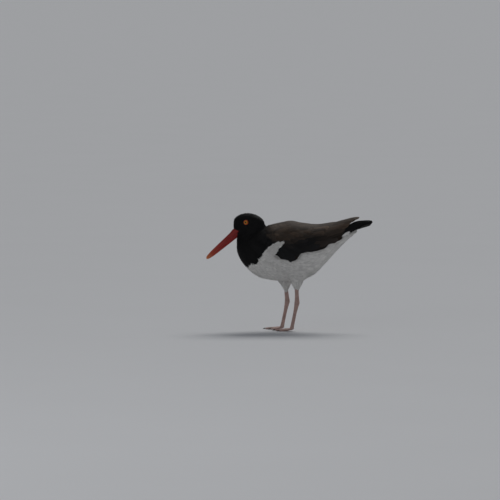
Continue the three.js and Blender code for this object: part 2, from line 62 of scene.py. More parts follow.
def monotone(at, value):
    """A cubic through points that never overshoots them, for arrays."""
    at, value = np.array(at, float), np.array(value, float)
    steps = np.diff(value) / np.diff(at)
    product = steps[:-1] * steps[1:]
    total = np.where(product > 0, steps[:-1] + steps[1:], 1)
    slopes = np.concatenate([steps[:1], np.where(product > 0, 2 * product / total, 0), steps[-1:]])

    def read(x):
        held = np.clip(np.asarray(x, float), at[0], at[-1])
        i = np.clip(np.searchsorted(at, held, side="right") - 1, 0, len(at) - 2)
        width = at[i + 1] - at[i]
        t = (held - at[i]) / width
        rise = value[i + 1] - value[i]
        bend = (slopes[i] * width - rise) * (1 - t) - (slopes[i + 1] * width - rise) * t
        return value[i] + t * rise + t * (1 - t) * bend

    return read


def sections(names, rows):
    """One smooth function for each column after the first."""
    columns = list(zip(*rows))
    return {name: monotone(columns[0], columns[k + 1]) for k, name in enumerate(names)}


# Body and folded wings: x, then the heights of the top, the widest place and the bottom, and the half width
OUTLINE = ("top", "waist", "low", "half")
TORSO = sections(OUTLINE, [
    (-117, 214, 184, 132, 34), (-95, 220, 183, 124, 41), (-60, 226, 180, 114, 47),
    (-20, 231, 177, 109, 49.5), (20, 231.5, 176, 109.5, 48), (50, 228, 181, 120, 43),
    (75, 225.5, 189, 143, 36), (104, 223, 201, 175, 26.5), (128, 222.5, 211, 199, 19),
    (148, 224, 219.5, 216, 13),
])
CLOAK = sections(OUTLINE, [
    (-58, 229, 181, 112, 50), (-40, 232.3, 180, 108, 52.5), (-20, 236.8, 178, 105, 54),
    (3, 240.6, 178, 104, 54.5), (28, 236.6, 180, 106, 52.5), (60, 233.6, 189, 122, 45.5),
    (90, 237, 201, 152, 36), (120, 244.5, 214, 184, 26), (150, 250.5, 229, 206, 17),
    (186, 246, 236, 226, 10),
])
TORSO_ENDS = (-117, 148)
# Neck and head: height, then the x of the front and back, the half width and how much it narrows forwards
NECK = sections(("front", "back", "half", "taper"), [
    (150, -112, -60, 33, 0.1), (172, -115.5, -46, 34.5, 0.12), (188, -116.6, -38, 33.5, 0.14),
    (203, -116.4, -41, 28.5, 0.2), (216, -121, -47, 23.5, 0.34), (228, -123.6, -52, 21.2, 0.4),
    (238.7, -123.4, -56, 20, 0.32), (247.5, -122.5, -60, 18.4, 0.24), (258.3, -121, -64, 16.5, 0.2),
])
# The heights where the neck and head begin and end, and the x where both ends close
NECK_ENDS = (150, 258.3)
NECK_X = -93
# The height of the wing's lower edge along x, and of the black hood's
WING_EDGE = monotone(
    (-58, -36, -14, 6, 16, 24, 42, 66, 88, 112, 120, 126, 140, 155, 186),
    (205, 167, 156, 147.4, 152, 164, 170.5, 177, 187, 196, 204, 217, 223.5, 229.5, 239),
)
HOOD_LINE = ((-132, -97.9, -84, -72, -63, -55, -45, -38), (124, 139, 145.5, 151, 160.5, 176, 186, 197))
HOOD_REAR = -36
# The bill: how far ahead of its base, then its reach above and below its axis, and the half width
BILL_BASE = np.array((-119.3, 0, 213.0))
BILL_PITCH = math.radians(41.1)
BILL_AHEAD = np.array((-math.cos(BILL_PITCH), 0, -math.sin(BILL_PITCH)))
BILL_UP = np.array((-math.sin(BILL_PITCH), 0, math.cos(BILL_PITCH)))
BILL_LENGTH = 84
BILL_MOUTH = -0.8
BILL = sections(("up", "down", "half"), [
    (-16, 3, 3, 10.6), (-10, 6, 5, 9.3), (-5, 10.2, 8.4, 7.4), (-2, 10.8, 9.3, 6.8),
    (3, 10, 9.4, 6.4), (8, 9.2, 8.9, 6.1), (20, 8.5, 8.3, 5.2), (45, 7.3, 7, 3.9),
    (66, 6, 5.6, 2.8), (78, 4.4, 3.8, 2.1), (BILL_LENGTH, 2.6, 2.0, 1.4),
])
NOSTRIL = {"up": 3.8, "slot_ahead": 19.5, "slot_long": 5.2, "slot_high": 0.62,
           "groove_ahead": 14, "groove_long": 26, "groove_high": 1.7}
EYE = np.array((-95.7, 0, 239.0))
# How far the eyes look forwards, and how far they and their lids stand out of the solids' place
EYE_YAW = math.radians(14)
EYE_OUT = 0.6
LID = {"major_radius": 4.5 * MM, "minor_radius": 0.85 * MM}
MANTLE = {"front": -56, "back": 52, "front_angle": 46, "back_angle": 3, "lap_angle": 17}
TAIL = {"root_x": 96, "root_z": 209.4, "tip_x": 183, "slope": 18.8, "feathers": 12, "width": 12, "fan": 2.1}
# Legs: side of the body, x of the thigh in the body, then x and height of its cuff
THIGHS = {"left": (-1, 17, 15.6, 92), "right": (1, -12, -7.3, 89)}
THIGH_TOP = 112
LEG_SPREAD = 21
ANKLES = {"left": 16.5, "right": -4.4}
ANKLE_HEIGHT = 62.7
HEEL_HEIGHT = 6.0
SHANK_LEAN = math.radians(11.5)
# Shanks: height, then the half thickness along the body and across it
SHANK = ((5, 14, 40, 54, 62, 70, 84, 100), (4.6, 3.9, 3.8, 4.8, 5.8, 4.9, 4.3, 4.4),
         (4.2, 3.4, 3.2, 3.8, 4.6, 4.1, 3.9, 4.1))
# Toes: turn outwards in degrees, length and thickness, then places along each, their swell and their height
TOES = ((-32, 31, 6.2), (0, 38, 6.8), (30, 33, 6.2))
TOE_STEPS = np.array((0, 0.16, 0.3, 0.46, 0.6, 0.74, 0.88, 0.96))
TOE_SWELL = np.array((1.0, 0.86, 0.98, 0.78, 0.88, 0.7, 0.74, 0.5))
TOE_LEVEL = np.array((4.6, 4.1, 3.5, 3.0, 2.8, 2.5, 2.3, 2.1))
CLAW_LENGTH = 5.6


def blend(a, b, share):
    """The one at share 0, the other at 1."""
    return a * (1 - share) + b * share


def smooth(low, high, value):
    """0 below low, 1 above high and a smooth step between them."""
    t = np.clip((value - low) / (high - low), 0, 1)
    return t * t * (3 - 2 * t)


def round_off(distance, radius):
    """0 at an end and 1 from a distance inwards, along a quarter circle."""
    return np.sqrt(np.maximum(0, 1 - np.maximum(0, 1 - distance / radius) ** 2))


def unit(vectors):
    """Vectors made one long."""
    return vectors / np.maximum(np.linalg.norm(vectors, axis=-1, keepdims=True), 1e-9)


def on_section(shape, x, angle):
    """Points on sections across the length: angle 0 is the top, a quarter turn is the +Y side."""
    waist = shape["waist"](x)
    reach = np.where(np.cos(angle) > 0, shape["top"](x) - waist, waist - shape["low"](x))
    return np.stack([x + 0 * angle, shape["half"](x) * np.sin(angle), waist + reach * np.cos(angle)], -1)


def on_cloak(sign, x, angle, height):
    """Points over the folded wings' surface."""
    here = on_section(CLOAK, x, angle)
    along = on_section(CLOAK, x + 0.5, angle) - on_section(CLOAK, x - 0.5, angle)
    around = on_section(CLOAK, x, angle + 0.02) - on_section(CLOAK, x, angle - 0.02)
    out = unit(np.cross(around, along))
    outwards = np.sin(angle) * out[..., 1] + np.cos(angle) * out[..., 2]
    out = out * np.where(outwards < 0, -1, 1)[..., None]
    return (here + out * np.asarray(height)[..., None]) * (1, sign, 1)


def off_cloak(sign, x, angle):
    """The way straight out of the folded wings' surface."""
    return unit(on_cloak(sign, x, angle, 1 + 0 * x) - on_cloak(sign, x, angle, 0 * x))


def arc_radius(x, angle):
    """How far one radian of angle goes round the wings' surface."""
    ahead = on_section(CLOAK, x, angle + 0.01)
    return np.linalg.norm(ahead - on_section(CLOAK, x, angle - 0.01), axis=-1) / 0.02


def angle_at(x, z, shape=CLOAK):
    """The angle at which a surface comes down to a height."""
    waist = shape["waist"](x)
    reach = np.where(z > waist, shape["top"](x) - waist, waist - shape["low"](x))
    return np.arccos(np.clip((z - waist) / reach, -1, 1))


def mantle_angle(x):
    """The angle where the back ends and the wing begins."""
    share = np.clip((x - MANTLE["front"]) / (MANTLE["back"] - MANTLE["front"]), 0, 1) ** 0.8
    return np.radians(MANTLE["front_angle"] + (MANTLE["back_angle"] - MANTLE["front_angle"]) * share)


def back_angle(x):
    """How far round the back's own feathers reach: at the rear they lap over the wings' inner edges."""
    return np.maximum(mantle_angle(x), math.radians(MANTLE["lap_angle"]))


def wing_angle(x, share):
    """The angle at a share of the way from the wing's upper edge, 0, to its lower edge, 1."""
    upper = mantle_angle(x)
    return upper + (angle_at(x, WING_EDGE(x)) - upper) * share


def cape_angle(x, share):
    """The angle at a share of the way round from the middle of the back to either wing's lower edge."""
    held = np.maximum(x, MANTLE["front"])
    lowest = np.maximum(WING_EDGE(held), np.interp(held, *SPUR_LEFT[1:]))
    return share * angle_at(held, lowest + 2)


def over_wing(sign):
    """The wing's surface on one side, as a function of x, angle and height."""

    def surface(x, angle, height):
        return on_cloak(sign, x, angle, height)

    return surface


def over_tail(level):
    """The tail's plane, sloping up and drooping at its sides, as a function of x, place across and height."""
    slope = math.radians(TAIL["slope"])

    def surface(x, aside, height):
        along = (x - TAIL["root_x"]) * math.cos(slope)
        droop = -0.05 * np.abs(aside) - 0.0006 * aside**2
        rise = along * math.tan(slope) / math.cos(slope)
        return np.stack([TAIL["root_x"] + along / math.cos(slope), aside + 0 * x,
                         TAIL["root_z"] + rise + droop + (height + level)], -1)

    return surface


# Settings


class PlumageSettings(bpy.types.PropertyGroup):
    """Sizes and colours of the feathers."""

    coat: FloatProperty(name="Coat depth", description="From the skin to the feathers' outside",
                        default=2.2 * MM, min=0, unit="LENGTH")
    density: FloatProperty(name="Density", description="How closely the small feathers stand",
                           default=1.0, min=0.3, max=2, subtype="FACTOR")
    black: FloatVectorProperty(name="Black", description="Head, neck and long feathers", subtype="COLOR",
                               default=(0.0062, 0.0060, 0.0064))
    brown: FloatVectorProperty(name="Brown", description="Back and wings", subtype="COLOR",
                               default=(0.056, 0.039, 0.028))
    white: FloatVectorProperty(name="White", description="Belly, flanks and rump", subtype="COLOR",
                               default=(0.78, 0.765, 0.74))
    seed: IntProperty(name="Seed", description="Which of many alike coats is made", default=7, min=0)


class BillSettings(bpy.types.PropertyGroup):
    """Colours of the bill."""

    base: FloatVectorProperty(name="Base", description="Deep red by the face", subtype="COLOR",
                              default=(0.24, 0.010, 0.007))
    middle: FloatVectorProperty(name="Middle", description="Red of the middle", subtype="COLOR",
                                default=(0.32, 0.017, 0.012))
    tip: FloatVectorProperty(name="Tip", description="Orange of the worn tip", subtype="COLOR",
                             default=(0.66, 0.20, 0.06))


class EyeSettings(bpy.types.PropertyGroup):
    """Size and colours of the eyes."""

    radius: FloatProperty(name="Radius", description="Of the eyeball", default=4.6 * MM, unit="LENGTH")
    iris: FloatVectorProperty(name="Iris", description="Yellow of the iris", subtype="COLOR",
                              default=(0.72, 0.31, 0.02))
    ring: FloatVectorProperty(name="Ring", description="Bare skin of the lids", subtype="COLOR",
                              default=(0.52, 0.085, 0.015))


class LegSettings(bpy.types.PropertyGroup):
    """Colours of the legs and claws."""

    scale_colour: FloatVectorProperty(name="Scales", description="Pale pink of the legs", subtype="COLOR",
                                      default=(0.50, 0.33, 0.29))
    claw: FloatVectorProperty(name="Claws", description="Dark horn", subtype="COLOR",
                              default=(0.03, 0.022, 0.018))


class StageSettings(bpy.types.PropertyGroup):
    """Camera and floor."""

    distance: FloatProperty(name="Camera distance", description="From the bird", default=9.0, unit="LENGTH")
    lens: FloatProperty(name="Lens", description="Focal length in millimetres", default=294.5, unit="CAMERA")
    elevation: FloatProperty(name="Elevation", description="How far the camera looks down",
                             default=math.radians(4), subtype="ANGLE")
    floor: FloatVectorProperty(name="Floor", description="Plain pale floor", subtype="COLOR",
                               default=(0.62, 0.63, 0.65))


def settings(name):
    """One group of settings of this scene."""
    return getattr(bpy.context.scene, "oystercatcher_" + name)


def pigment(name):
    """One of the feathers' colours."""
    return np.array(getattr(settings("plumage"), name))


def dice(number):
    """A source of random numbers for one piece, the same each run."""
    return np.random.default_rng(settings("plumage").seed + number)


# Materials


def group(name, inputs, output, build):
    """A shader node group with named sockets and one output, made once."""
    made = bpy.data.node_groups.get(name)
    if made:
        return made
    made = bpy.data.node_groups.new(name, "ShaderNodeTree")
    for label, kind, value in inputs:
        socket = made.interface.new_socket(label, in_out="INPUT", socket_type=kind)
        if value is not None:
            socket.default_value = value
    made.interface.new_socket(output, in_out="OUTPUT", socket_type="NodeSocketFloat")
    start = made.nodes.new("NodeGroupInput")
    end = made.nodes.new("NodeGroupOutput")
    made.links.new(build(made, start.outputs), end.inputs[output])
    return made


def add(tree, kind, links=(), **values):
    """A node with its settings, and its inputs linked or set by name or number."""
    node = tree.nodes.new(kind)
    for key, value in values.items():
        setattr(node, key, value)
    for key, value in dict(links).items():
        if isinstance(value, bpy.types.NodeSocket):
            tree.links.new(value, node.inputs[key])
        else:
            node.inputs[key].default_value = value
    return node


def reckon(tree, kind, a, b=0.0, c=0.0):
    """One arithmetic node's result."""
    return add(tree, "ShaderNodeMath", {0: a, 1: b, 2: c}, operation=kind).outputs[0]


def barbs():
    """Fine lines that slant from a feather's shaft to its edges."""

    def build(tree, given):
        parts = add(tree, "ShaderNodeSeparateXYZ", {0: given["Map"]}).outputs
        aside = reckon(tree, "ABSOLUTE", reckon(tree, "SUBTRACT", parts[1], 0.5))
        slant = reckon(tree, "MULTIPLY", aside, given["Slant"])
        phase = reckon(tree, "MULTIPLY", reckon(tree, "SUBTRACT", parts[0], slant), given["Count"])
        return reckon(tree, "MULTIPLY_ADD", reckon(tree, "SINE", phase), 0.5, 0.5)

    inputs = (("Map", "NodeSocketVector", None), ("Count", "NodeSocketFloat", 260.0),
              ("Slant", "NodeSocketFloat", 0.5))
    return group("Barbs", inputs, "Lines", build)


def mottling():
    """Soft light and dark patches about 1."""

    def build(tree, given):
        links = {"Vector": given["Vector"], "Scale": given["Scale"], "Detail": 4.0}
        noise = add(tree, "ShaderNodeTexNoise", links).outputs[0]
        spread = reckon(tree, "MULTIPLY", reckon(tree, "SUBTRACT", noise, 0.5), given["Amount"])
        return reckon(tree, "ADD", spread, 1.0)

    inputs = (("Vector", "NodeSocketVector", None), ("Scale", "NodeSocketFloat", 40.0),
              ("Amount", "NodeSocketFloat", 0.5))
    return group("Mottling", inputs, "Factor", build)


def material(name, **values):
    """A material with its shader's plain values set, and the shader's tree."""
    made = bpy.data.materials.new(name)
    made.use_nodes = True
    shader = made.node_tree.nodes["Principled BSDF"]
    for key, value in values.items():
        shader.inputs[key.replace("_", " ")].default_value = value
    return made, made.node_tree, shader


def placed(tree, kind, **links):
    """A shared effect placed in a material."""
    return add(tree, "ShaderNodeGroup", links, node_tree=kind).outputs[0]


def place_on(tree):
    """The place on the piece, whose object stands at the origin."""
    return add(tree, "ShaderNodeTexCoord").outputs["Object"]


def own_map(tree):
    """The piece's own map."""
    return add(tree, "ShaderNodeUVMap", uv_map="UVMap").outputs[0]


def painted(tree):
    """The colours painted on the piece."""
    return add(tree, "ShaderNodeAttribute", attribute_name="plumage").outputs["Color"]


def plain(tree, colour):
    """One colour that other nodes can tint."""
    base = add(tree, "ShaderNodeRGB").outputs[0]
    base.default_value = (*colour, 1)
    return base


def ramp(tree, factor, stops):
    """A colour ramp through places and colours, lowest first."""
    node = add(tree, "ShaderNodeValToRGB", {0: factor})
    elements = node.color_ramp.elements
    for element, (position, colour) in zip(elements, (stops[0], stops[-1])):
        element.position = position
        element.color = (*colour, 1)
    for position, colour in stops[1:-1]:
        elements.new(position).color = (*colour, 1)
    return node.outputs[0]


def tinted(tree, colour, factor):
    """A colour made lighter or darker by a factor."""
    return add(tree, "ShaderNodeVectorMath", {0: colour, 3: factor}, operation="SCALE").outputs[0]


def mottled(tree, shader, colour, vector, scale, amount):
    """Gives the shader a colour with soft mottling, and returns the mottling."""
    patch = placed(tree, mottling(), Vector=vector, Scale=scale, Amount=amount)
    tree.links.new(tinted(tree, colour, patch), shader.inputs["Base Color"])
    return patch


def raised(tree, shader, height, strength, distance):
    """Gives the shader a bump."""
    bump = add(tree, "ShaderNodeBump", {"Strength": strength, "Distance": distance, "Height": height})
    tree.links.new(bump.outputs[0], shader.inputs["Normal"])


def plumage_material(name, rough, sheen, lines, amount, count):
    """Feathers: the piece's own colours, with barbs and soft mottling."""
    made, tree, shader = material(name, Roughness=rough, Sheen_Weight=sheen, Sheen_Roughness=0.6,
                                  Specular_IOR_Level=0.13)
    vane = placed(tree, barbs(), Map=own_map(tree), Count=count, Slant=0.45)
    shade = reckon(tree, "MULTIPLY_ADD", vane, lines, 1.0 - lines / 2)
    mottled(tree, shader, tinted(tree, painted(tree), shade), place_on(tree), 90.0, amount)
    raised(tree, shader, vane, 0.35, 0.2 * MM)
    return made


def skin_material():
    """Under the feathers: the same markings, dull and soft."""
    made, tree, shader = material("skin_down", Roughness=0.9, Sheen_Weight=0.02, Specular_IOR_Level=0.1)
    place = place_on(tree)
    mottled(tree, shader, painted(tree), place, 260.0, 0.7)
    grain = add(tree, "ShaderNodeTexNoise", {"Vector": place, "Scale": 900.0, "Detail": 3.0}).outputs[0]
    raised(tree, shader, grain, 0.5, 0.4 * MM)
    return made


def bill_material():
    """Horn: deep red by the face, orange at the worn tip, with fine growth lines along it."""
    chosen = settings("bill")
    made, tree, shader = material("bill_horn", Roughness=0.4, Coat_Weight=0.08, Coat_Roughness=0.2,
                                  Specular_IOR_Level=0.3)
    place = place_on(tree)
    level = {"Vector": place, "Center": tuple(BILL_BASE * MM), "Axis": (0, 1, 0), "Angle": BILL_PITCH}
    turned = add(tree, "ShaderNodeVectorRotate", level, rotation_type="AXIS_ANGLE").outputs[0]
    parts = add(tree, "ShaderNodeSeparateXYZ", {0: turned}).outputs
    root = BILL_BASE[0] * MM
    along = add(tree, "ShaderNodeMapRange", {0: parts[0], 1: root, 2: root - BILL_LENGTH * MM}).outputs[0]
    reds = ramp(tree, along, ((0.02, chosen.base), (0.5, chosen.middle), (0.8, (0.38, 0.045, 0.016)),
                              (1.0, chosen.tip)))
    stretched = add(tree, "ShaderNodeMapping", {"Vector": turned, "Scale": (60, 900, 900)}).outputs[0]
    lines = placed(tree, mottling(), Vector=stretched, Scale=1.0, Amount=0.6)
    spots = mottled(tree, shader, tinted(tree, reds, lines), place, 160.0, 0.5)
    raised(tree, shader, lines, 0.25, 0.2 * MM)
    tree.links.new(reckon(tree, "MULTIPLY", spots, 0.4), shader.inputs["Roughness"])
    return made


def eye_material():
    """A wet eye, coloured by the distance from its axis: black pupil, rayed yellow iris, dark rim."""
    made, tree, shader = material("iris_wet", Roughness=0.3, Coat_Weight=0.25, Coat_Roughness=0.02,
                                  Specular_IOR_Level=0.2)
    local = own_map(tree)
    parts = add(tree, "ShaderNodeSeparateXYZ", {0: local}).outputs
    rings = ramp(tree, parts[0], (
        (0.43, (0.002, 0.002, 0.002)), (0.46, (0.5, 0.2, 0.01)), (0.62, tuple(settings("eye").iris)),
        (0.86, (0.62, 0.24, 0.015)), (0.96, (0.2, 0.06, 0.005)), (1.0, (0.02, 0.008, 0.002)),
    ))
    rays = add(tree, "ShaderNodeMapping", {"Vector": local, "Scale": (2, 90, 1)}).outputs[0]
    mottled(tree, shader, rings, rays, 1.0, 0.5)
    return made


def bare_skin_material(name, colour, scale, depth, rough, contrast):
    """Bare skin with small rounded scales or grains."""
    made, tree, shader = material(name, Roughness=rough, Subsurface_Weight=0.08, Subsurface_Scale=1 * MM)
    place = place_on(tree)
    cells = add(tree, "ShaderNodeTexVoronoi", {"Vector": place, "Scale": scale}, feature="DISTANCE_TO_EDGE")
    edge = add(tree, "ShaderNodeMapRange", {0: cells.outputs[0], 1: 0.0, 2: 0.18}).outputs[0]
    shade = reckon(tree, "MULTIPLY_ADD", edge, contrast, 1.0 - contrast)
    mottled(tree, shader, tinted(tree, plain(tree, colour), shade), place, 120.0, 0.7)
    raised(tree, shader, edge, 0.6, depth)
    return made


# Making pieces


def only(*objects):
    """Selects these objects alone, the first one active."""
    bpy.ops.object.select_all(action="DESELECT")
    for each in objects:
        each.select_set(True)
    bpy.context.view_layer.objects.active = objects[0]


def apply(target, kind, **values):
    """Adds a modifier and applies it."""
    only(target)
    modifier = target.modifiers.new(kind.lower(), kind)
    for key, value in values.items():
        setattr(modifier, key, value)
    bpy.ops.object.modifier_apply(modifier=modifier.name)


def face_outwards(target):
    """Turns the faces of a closed piece outwards."""
    only(target)
    bpy.ops.object.mode_set(mode="EDIT")
    bpy.ops.mesh.select_all(action="SELECT")
    bpy.ops.mesh.normals_make_consistent(inside=False)
    bpy.ops.object.mode_set(mode="OBJECT")


def smooth_shading(target):
    """Shades a piece smooth."""
    only(target)
    bpy.ops.object.shade_smooth()


def settle(target, slot, finish, *nodes):
    """Gives a finished piece its material and body, and hides the solids that it stands for; the slot is not
    used.
    """
    target.data.materials.clear()
    target.data.materials.append(finish)
    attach(target, "root")
    if nodes:
        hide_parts(*nodes)


def points_of(mesh, what="co"):
    """A mesh's vertex positions or normals as an array, in its own unit."""
    values = np.empty(len(mesh.vertices) * 3, np.float32)
    mesh.vertices.foreach_get(what, values)
    return values.reshape(-1, 3).astype(float)


def move_points(mesh, place):
    """Puts a mesh's vertices at places in millimetres."""
    mesh.vertices.foreach_set("co", (place * MM).astype(np.float32).ravel())
    mesh.update()


def paint(mesh, colours):
    """Writes the piece's own colours: one for all of it, or one a vertex."""
    layer = mesh.color_attributes.new("plumage", "FLOAT_COLOR", "POINT")
    rgba = np.ones((len(mesh.vertices), 4), np.float32)
    rgba[:, :3] = colours
    layer.data.foreach_set("color", rgba.ravel())


def loft(name, rings, ends):
    """A closed object through rings of points in millimetres, with a point at each end."""
    stations, around, _ = rings.shape
    faces = []
    for k in range(stations - 1):
        for j in range(around):
            a, b = k * around + j, k * around + (j + 1) % around
            faces.append((a, b, b + around, a + around))
    low, high, last = stations * around, stations * around + 1, (stations - 1) * around
    for j in range(around):
        following = (j + 1) % around
        faces.append((following, j, low))
        faces.append((last + j, last + following, high))
    points = np.concatenate([rings.reshape(-1, 3), np.array(ends, float)]) * MM
    mesh = bpy.data.meshes.new(name)
    mesh.from_pydata([tuple(p) for p in points], [], faces)
    made = bpy.data.objects.new(name, mesh)
    bpy.context.scene.collection.objects.link(made)
    face_outwards(made)
    return made


def tube(name, path, radii, turns=28):
    """A closed tube along a path of points, with two radii at each: sideways and across that."""
    path, radii = np.array(path, float), np.array(radii, float)
    along = unit(np.gradient(path, axis=0))
    side = unit(np.cross(along, (0.0, 0.0, 1.0) if abs(along[0, 2]) < 0.7 else (1.0, 0.0, 0.0)))
    other = np.cross(side, along)
    turn = np.linspace(0, 2 * math.pi, turns, endpoint=False)
    rings = (path[:, None] + side[:, None] * (radii[:, :1] * np.cos(turn))[..., None]
             + other[:, None] * (radii[:, 1:] * np.sin(turn))[..., None])
    ends = [path[0] - along[0] * radii[0].min() * 0.5, path[-1] + along[-1] * radii[-1].min() * 0.5]
    return loft(name, rings, ends)


# The point in the body round which the coat's map unwraps it, and the size of one feather's patch there
UNWRAP_CENTRE = np.array((-30.0, 0, 178.0))
TUFT_PATCH = 0.003


def bake_place(roots):
    """Where roots lie on an unwrap of the skin's own shape."""
    away = roots - UNWRAP_CENTRE
    turn = np.arctan2(away[:, 1], -away[:, 0]) / (2 * math.pi) + 0.5
    rise = np.arcsin(np.clip(away[:, 2] / np.linalg.norm(away, axis=1), -1, 1)) / math.pi + 0.5
    return np.clip(np.stack([turn, rise], 1), TUFT_PATCH, 1 - TUFT_PATCH)


class Coat:
    """Feathers gathered for one piece. Each is a run of closed rings from its root to its tip."""

    def __init__(self):
        self.points, self.colours, self.local, self.bake, self.quads, self.fans = [], [], [], [], [], []
        self.size = 0

    def add(self, rings, across, roots, colours):
        """rings (N, S, M, 3), across (M,) from 0 to 1, roots (N, 3), colours (N, S, M, 3)."""
        count, stations, around, _ = rings.shape
        self.points.append(rings.reshape(-1, 3))
        self.colours.append(np.broadcast_to(colours, rings.shape).reshape(-1, 3))
        u = np.broadcast_to(np.linspace(0, 1, stations)[None, :, None], (count, stations, around))
        v = np.broadcast_to(np.asarray(across, float)[None, None, :], (count, stations, around))
        own = np.stack([u, v], -1).reshape(-1, 2)
        self.local.append(own)
        self.bake.append(np.repeat(bake_place(roots), stations * around, 0) + TUFT_PATCH * (own - 0.5))
        ring = np.arange(around)
        after = (ring + 1) % around
        k = np.arange(stations - 1)[:, None] * around
        quads = np.stack([k + ring, k + around + ring, k + around + after, k + after], -1).reshape(-1, 4)
        fan = np.stack([np.zeros(around - 2, int), ring[1:-1], ring[2:]], -1)
        fans = np.concatenate([fan, fan[:, ::-1] + (stations - 1) * around])
        offset = self.size + np.arange(count)[:, None, None] * stations * around
        self.quads.append((quads[None] + offset).reshape(-1, 4))
        self.fans.append((fans[None] + offset).reshape(-1, 3))
        self.size += count * stations * around

    def build(self, name):
        """One mesh object of all of them, with its two maps and its colours."""
        quads, fans = np.concatenate(self.quads), np.concatenate(self.fans)
        mesh = bpy.data.meshes.new(name)
        mesh.vertices.add(self.size)
        loops = np.concatenate([quads.ravel(), fans.ravel()]).astype(np.int32)
        mesh.loops.add(len(loops))
        mesh.loops.foreach_set("vertex_index", loops)
        sizes = np.concatenate([np.full(len(quads), 4), np.full(len(fans), 3)])
        mesh.polygons.add(len(sizes))
        mesh.polygons.foreach_set("loop_start", (np.cumsum(sizes) - sizes).astype(np.int32))
        mesh.vertices.foreach_set("co", (np.concatenate(self.points) * MM).astype(np.float32).ravel())
        mesh.update(calc_edges=True)
        for label, parts in (("UVMap", self.local), ("OFBake", self.bake)):
            layer = mesh.uv_layers.new(name=label)
            layer.data.foreach_set("uv", np.concatenate(parts)[loops].astype(np.float32).ravel())
        paint(mesh, np.concatenate(self.colours))
        mesh.validate()
        made = bpy.data.objects.new(name, mesh)
        bpy.context.scene.collection.objects.link(made)
        only(made)
        bpy.ops.object.shade_smooth_by_angle(angle=math.radians(40))
        return made


# Feathers


def vane_widths(s, half, length):
    """Half widths along feathers: narrow at the root, full from the middle on, and rounded at the tip."""
    tip = np.clip(half / length * 1.15, 0.06, 0.4)[:, None]
    rounded = np.sqrt(np.clip(1 - np.clip((s[None] - (1 - tip)) / tip, 0, 1) ** 2, 0, 1))
    return half[:, None] * (0.38 + 0.62 * smooth(0, 0.55, s)[None]) * np.maximum(rounded, 0.05)


def quills(coat, surface, radius, starts, ends, half, rng, colour, stations=12, columns=7, sunk=1.2, lift=0.9,
           roll=0.0, thick=0.35, fringe=0.0, slim=0.0, rise=1.1):
    """Feathers with a shaft and two vanes over a surface.

    starts and ends are (N, 2), as the surface's own places. The roots lie sunk under the surface and the tips
    lift over it. roll tilts a feather, slim narrows its leading vane and fringe lightens its rim.
    """
    count = len(starts)
    half = np.full(count, float(half))
    run = ends[:, 0] - starts[:, 0]
    turn = (ends[:, 1] - starts[:, 1]) * radius(starts[:, 0], starts[:, 1])
    length = np.hypot(run, turn)
    ahead, aside = (run / length)[:, None, None], (turn / length)[:, None, None]
    s = np.sin(np.linspace(0, math.pi / 2, stations)) ** 1.1
    c = np.linspace(-1, 1, columns)
    ragged = 1 + 0.05 * rng.standard_normal((count, stations, columns)) * (np.abs(c) > 0.9)
    leading = np.where(c < 0, 1 - slim, 1)
    offset = vane_widths(s, half, length)[:, :, None] * c * leading * ragged
    middle_x = starts[:, :1] + run[:, None] * s
    middle = starts[:, 1:] + (ends[:, 1:] - starts[:, 1:]) * s
    x = middle_x[:, :, None] - aside * offset
    angle = middle[:, :, None] + ahead * offset / radius(middle_x, middle)[:, :, None]
    level = -sunk + (lift + sunk) * s**rise - 0.45 * smooth(0.72, 1, s)
    camber = (0.07 * half)[:, None, None] * (1 - c**2) * (1 - s**3)[:, None]
    shaft = 0.2 * (np.abs(c) < 0.05) * (1 - s**2)[:, None]
    stray = 0.12 * rng.standard_normal(count)[:, None, None]
    height = level[None, :, None] + camber + roll * c + shaft + stray
    top = surface(x, angle, height)
    under = surface(x[:, :, 1:-1], angle[:, :, 1:-1], height[:, :, 1:-1] - thick)[:, :, ::-1]
    across = np.concatenate([(c + 1) / 2, (c[1:-1][::-1] + 1) / 2])
    rim = np.maximum(smooth(0.6, 1.0, np.abs(2 * across - 1))[None, :], smooth(0.86, 1.0, s)[:, None])
    tone = 1 + 0.16 * rng.standard_normal(count)[:, None, None]
    # Painted shade: darker towards the root, under the feathers that lie over it; the tone differs at random
    # and fringe lightens the rim
    shade = tone * (0.72 + 0.4 * s[None, :, None]) * (1 + fringe * rim[None])
    tint = np.asarray(colour)[..., None, None, :] * shade[..., None]
    coat.add(np.concatenate([top, under], 2), across, top[:, 0, columns // 2], tint)


def plumes(coat, path, normals, half, colours, rng, strips):
    """Loose feathers: strips of barbs that fan from one root. path and normals are (N, S, 3)."""
    count, stations, _ = path.shape
    aside = unit(np.cross(normals, unit(np.gradient(path, axis=1))))
    s = np.linspace(0, 1, stations)
    wide = (half * 2.1 / strips)[:, None] * np.clip((0.5 + s) * (1 - s**3.4), 0.05, 1)[None]
    ridge = (0.1 * np.clip(1.1 - s, 0.15, 1))[None, :, None]
    for place in np.linspace(-1, 1, strips):
        reach = (1 - 0.22 * place**2) * (1 + 0.13 * rng.standard_normal(count)).clip(0.6, 1.25)
        centre = path + (reach - 1)[:, None, None] * s[None, :, None] * (path[:, -1:] - path[:, :1])
        drift = place + 0.12 * rng.standard_normal(count)
        spread = half[:, None] * drift[:, None] * 0.8 * smooth(-0.15, 0.75, s)[None]
        centre = centre + aside * spread[..., None]
        centre = centre - normals * (0.25 * half[:, None] * (place * s[None]) ** 2)[..., None]
        edge = aside * wide[..., None]
        rings = np.stack([centre - edge, centre + normals * ridge, centre + edge], 2)
        tone = (1 + 0.05 * rng.standard_normal(count))[:, None, None, None]
        # Painted shade: darker towards the root, under the feathers that lie over it
        tint = colours[:, None, None, :] * tone * (0.86 + 0.16 * s)[None, :, None, None]
        coat.add(rings, (0.0, 0.5, 1.0), path[:, 0], tint)


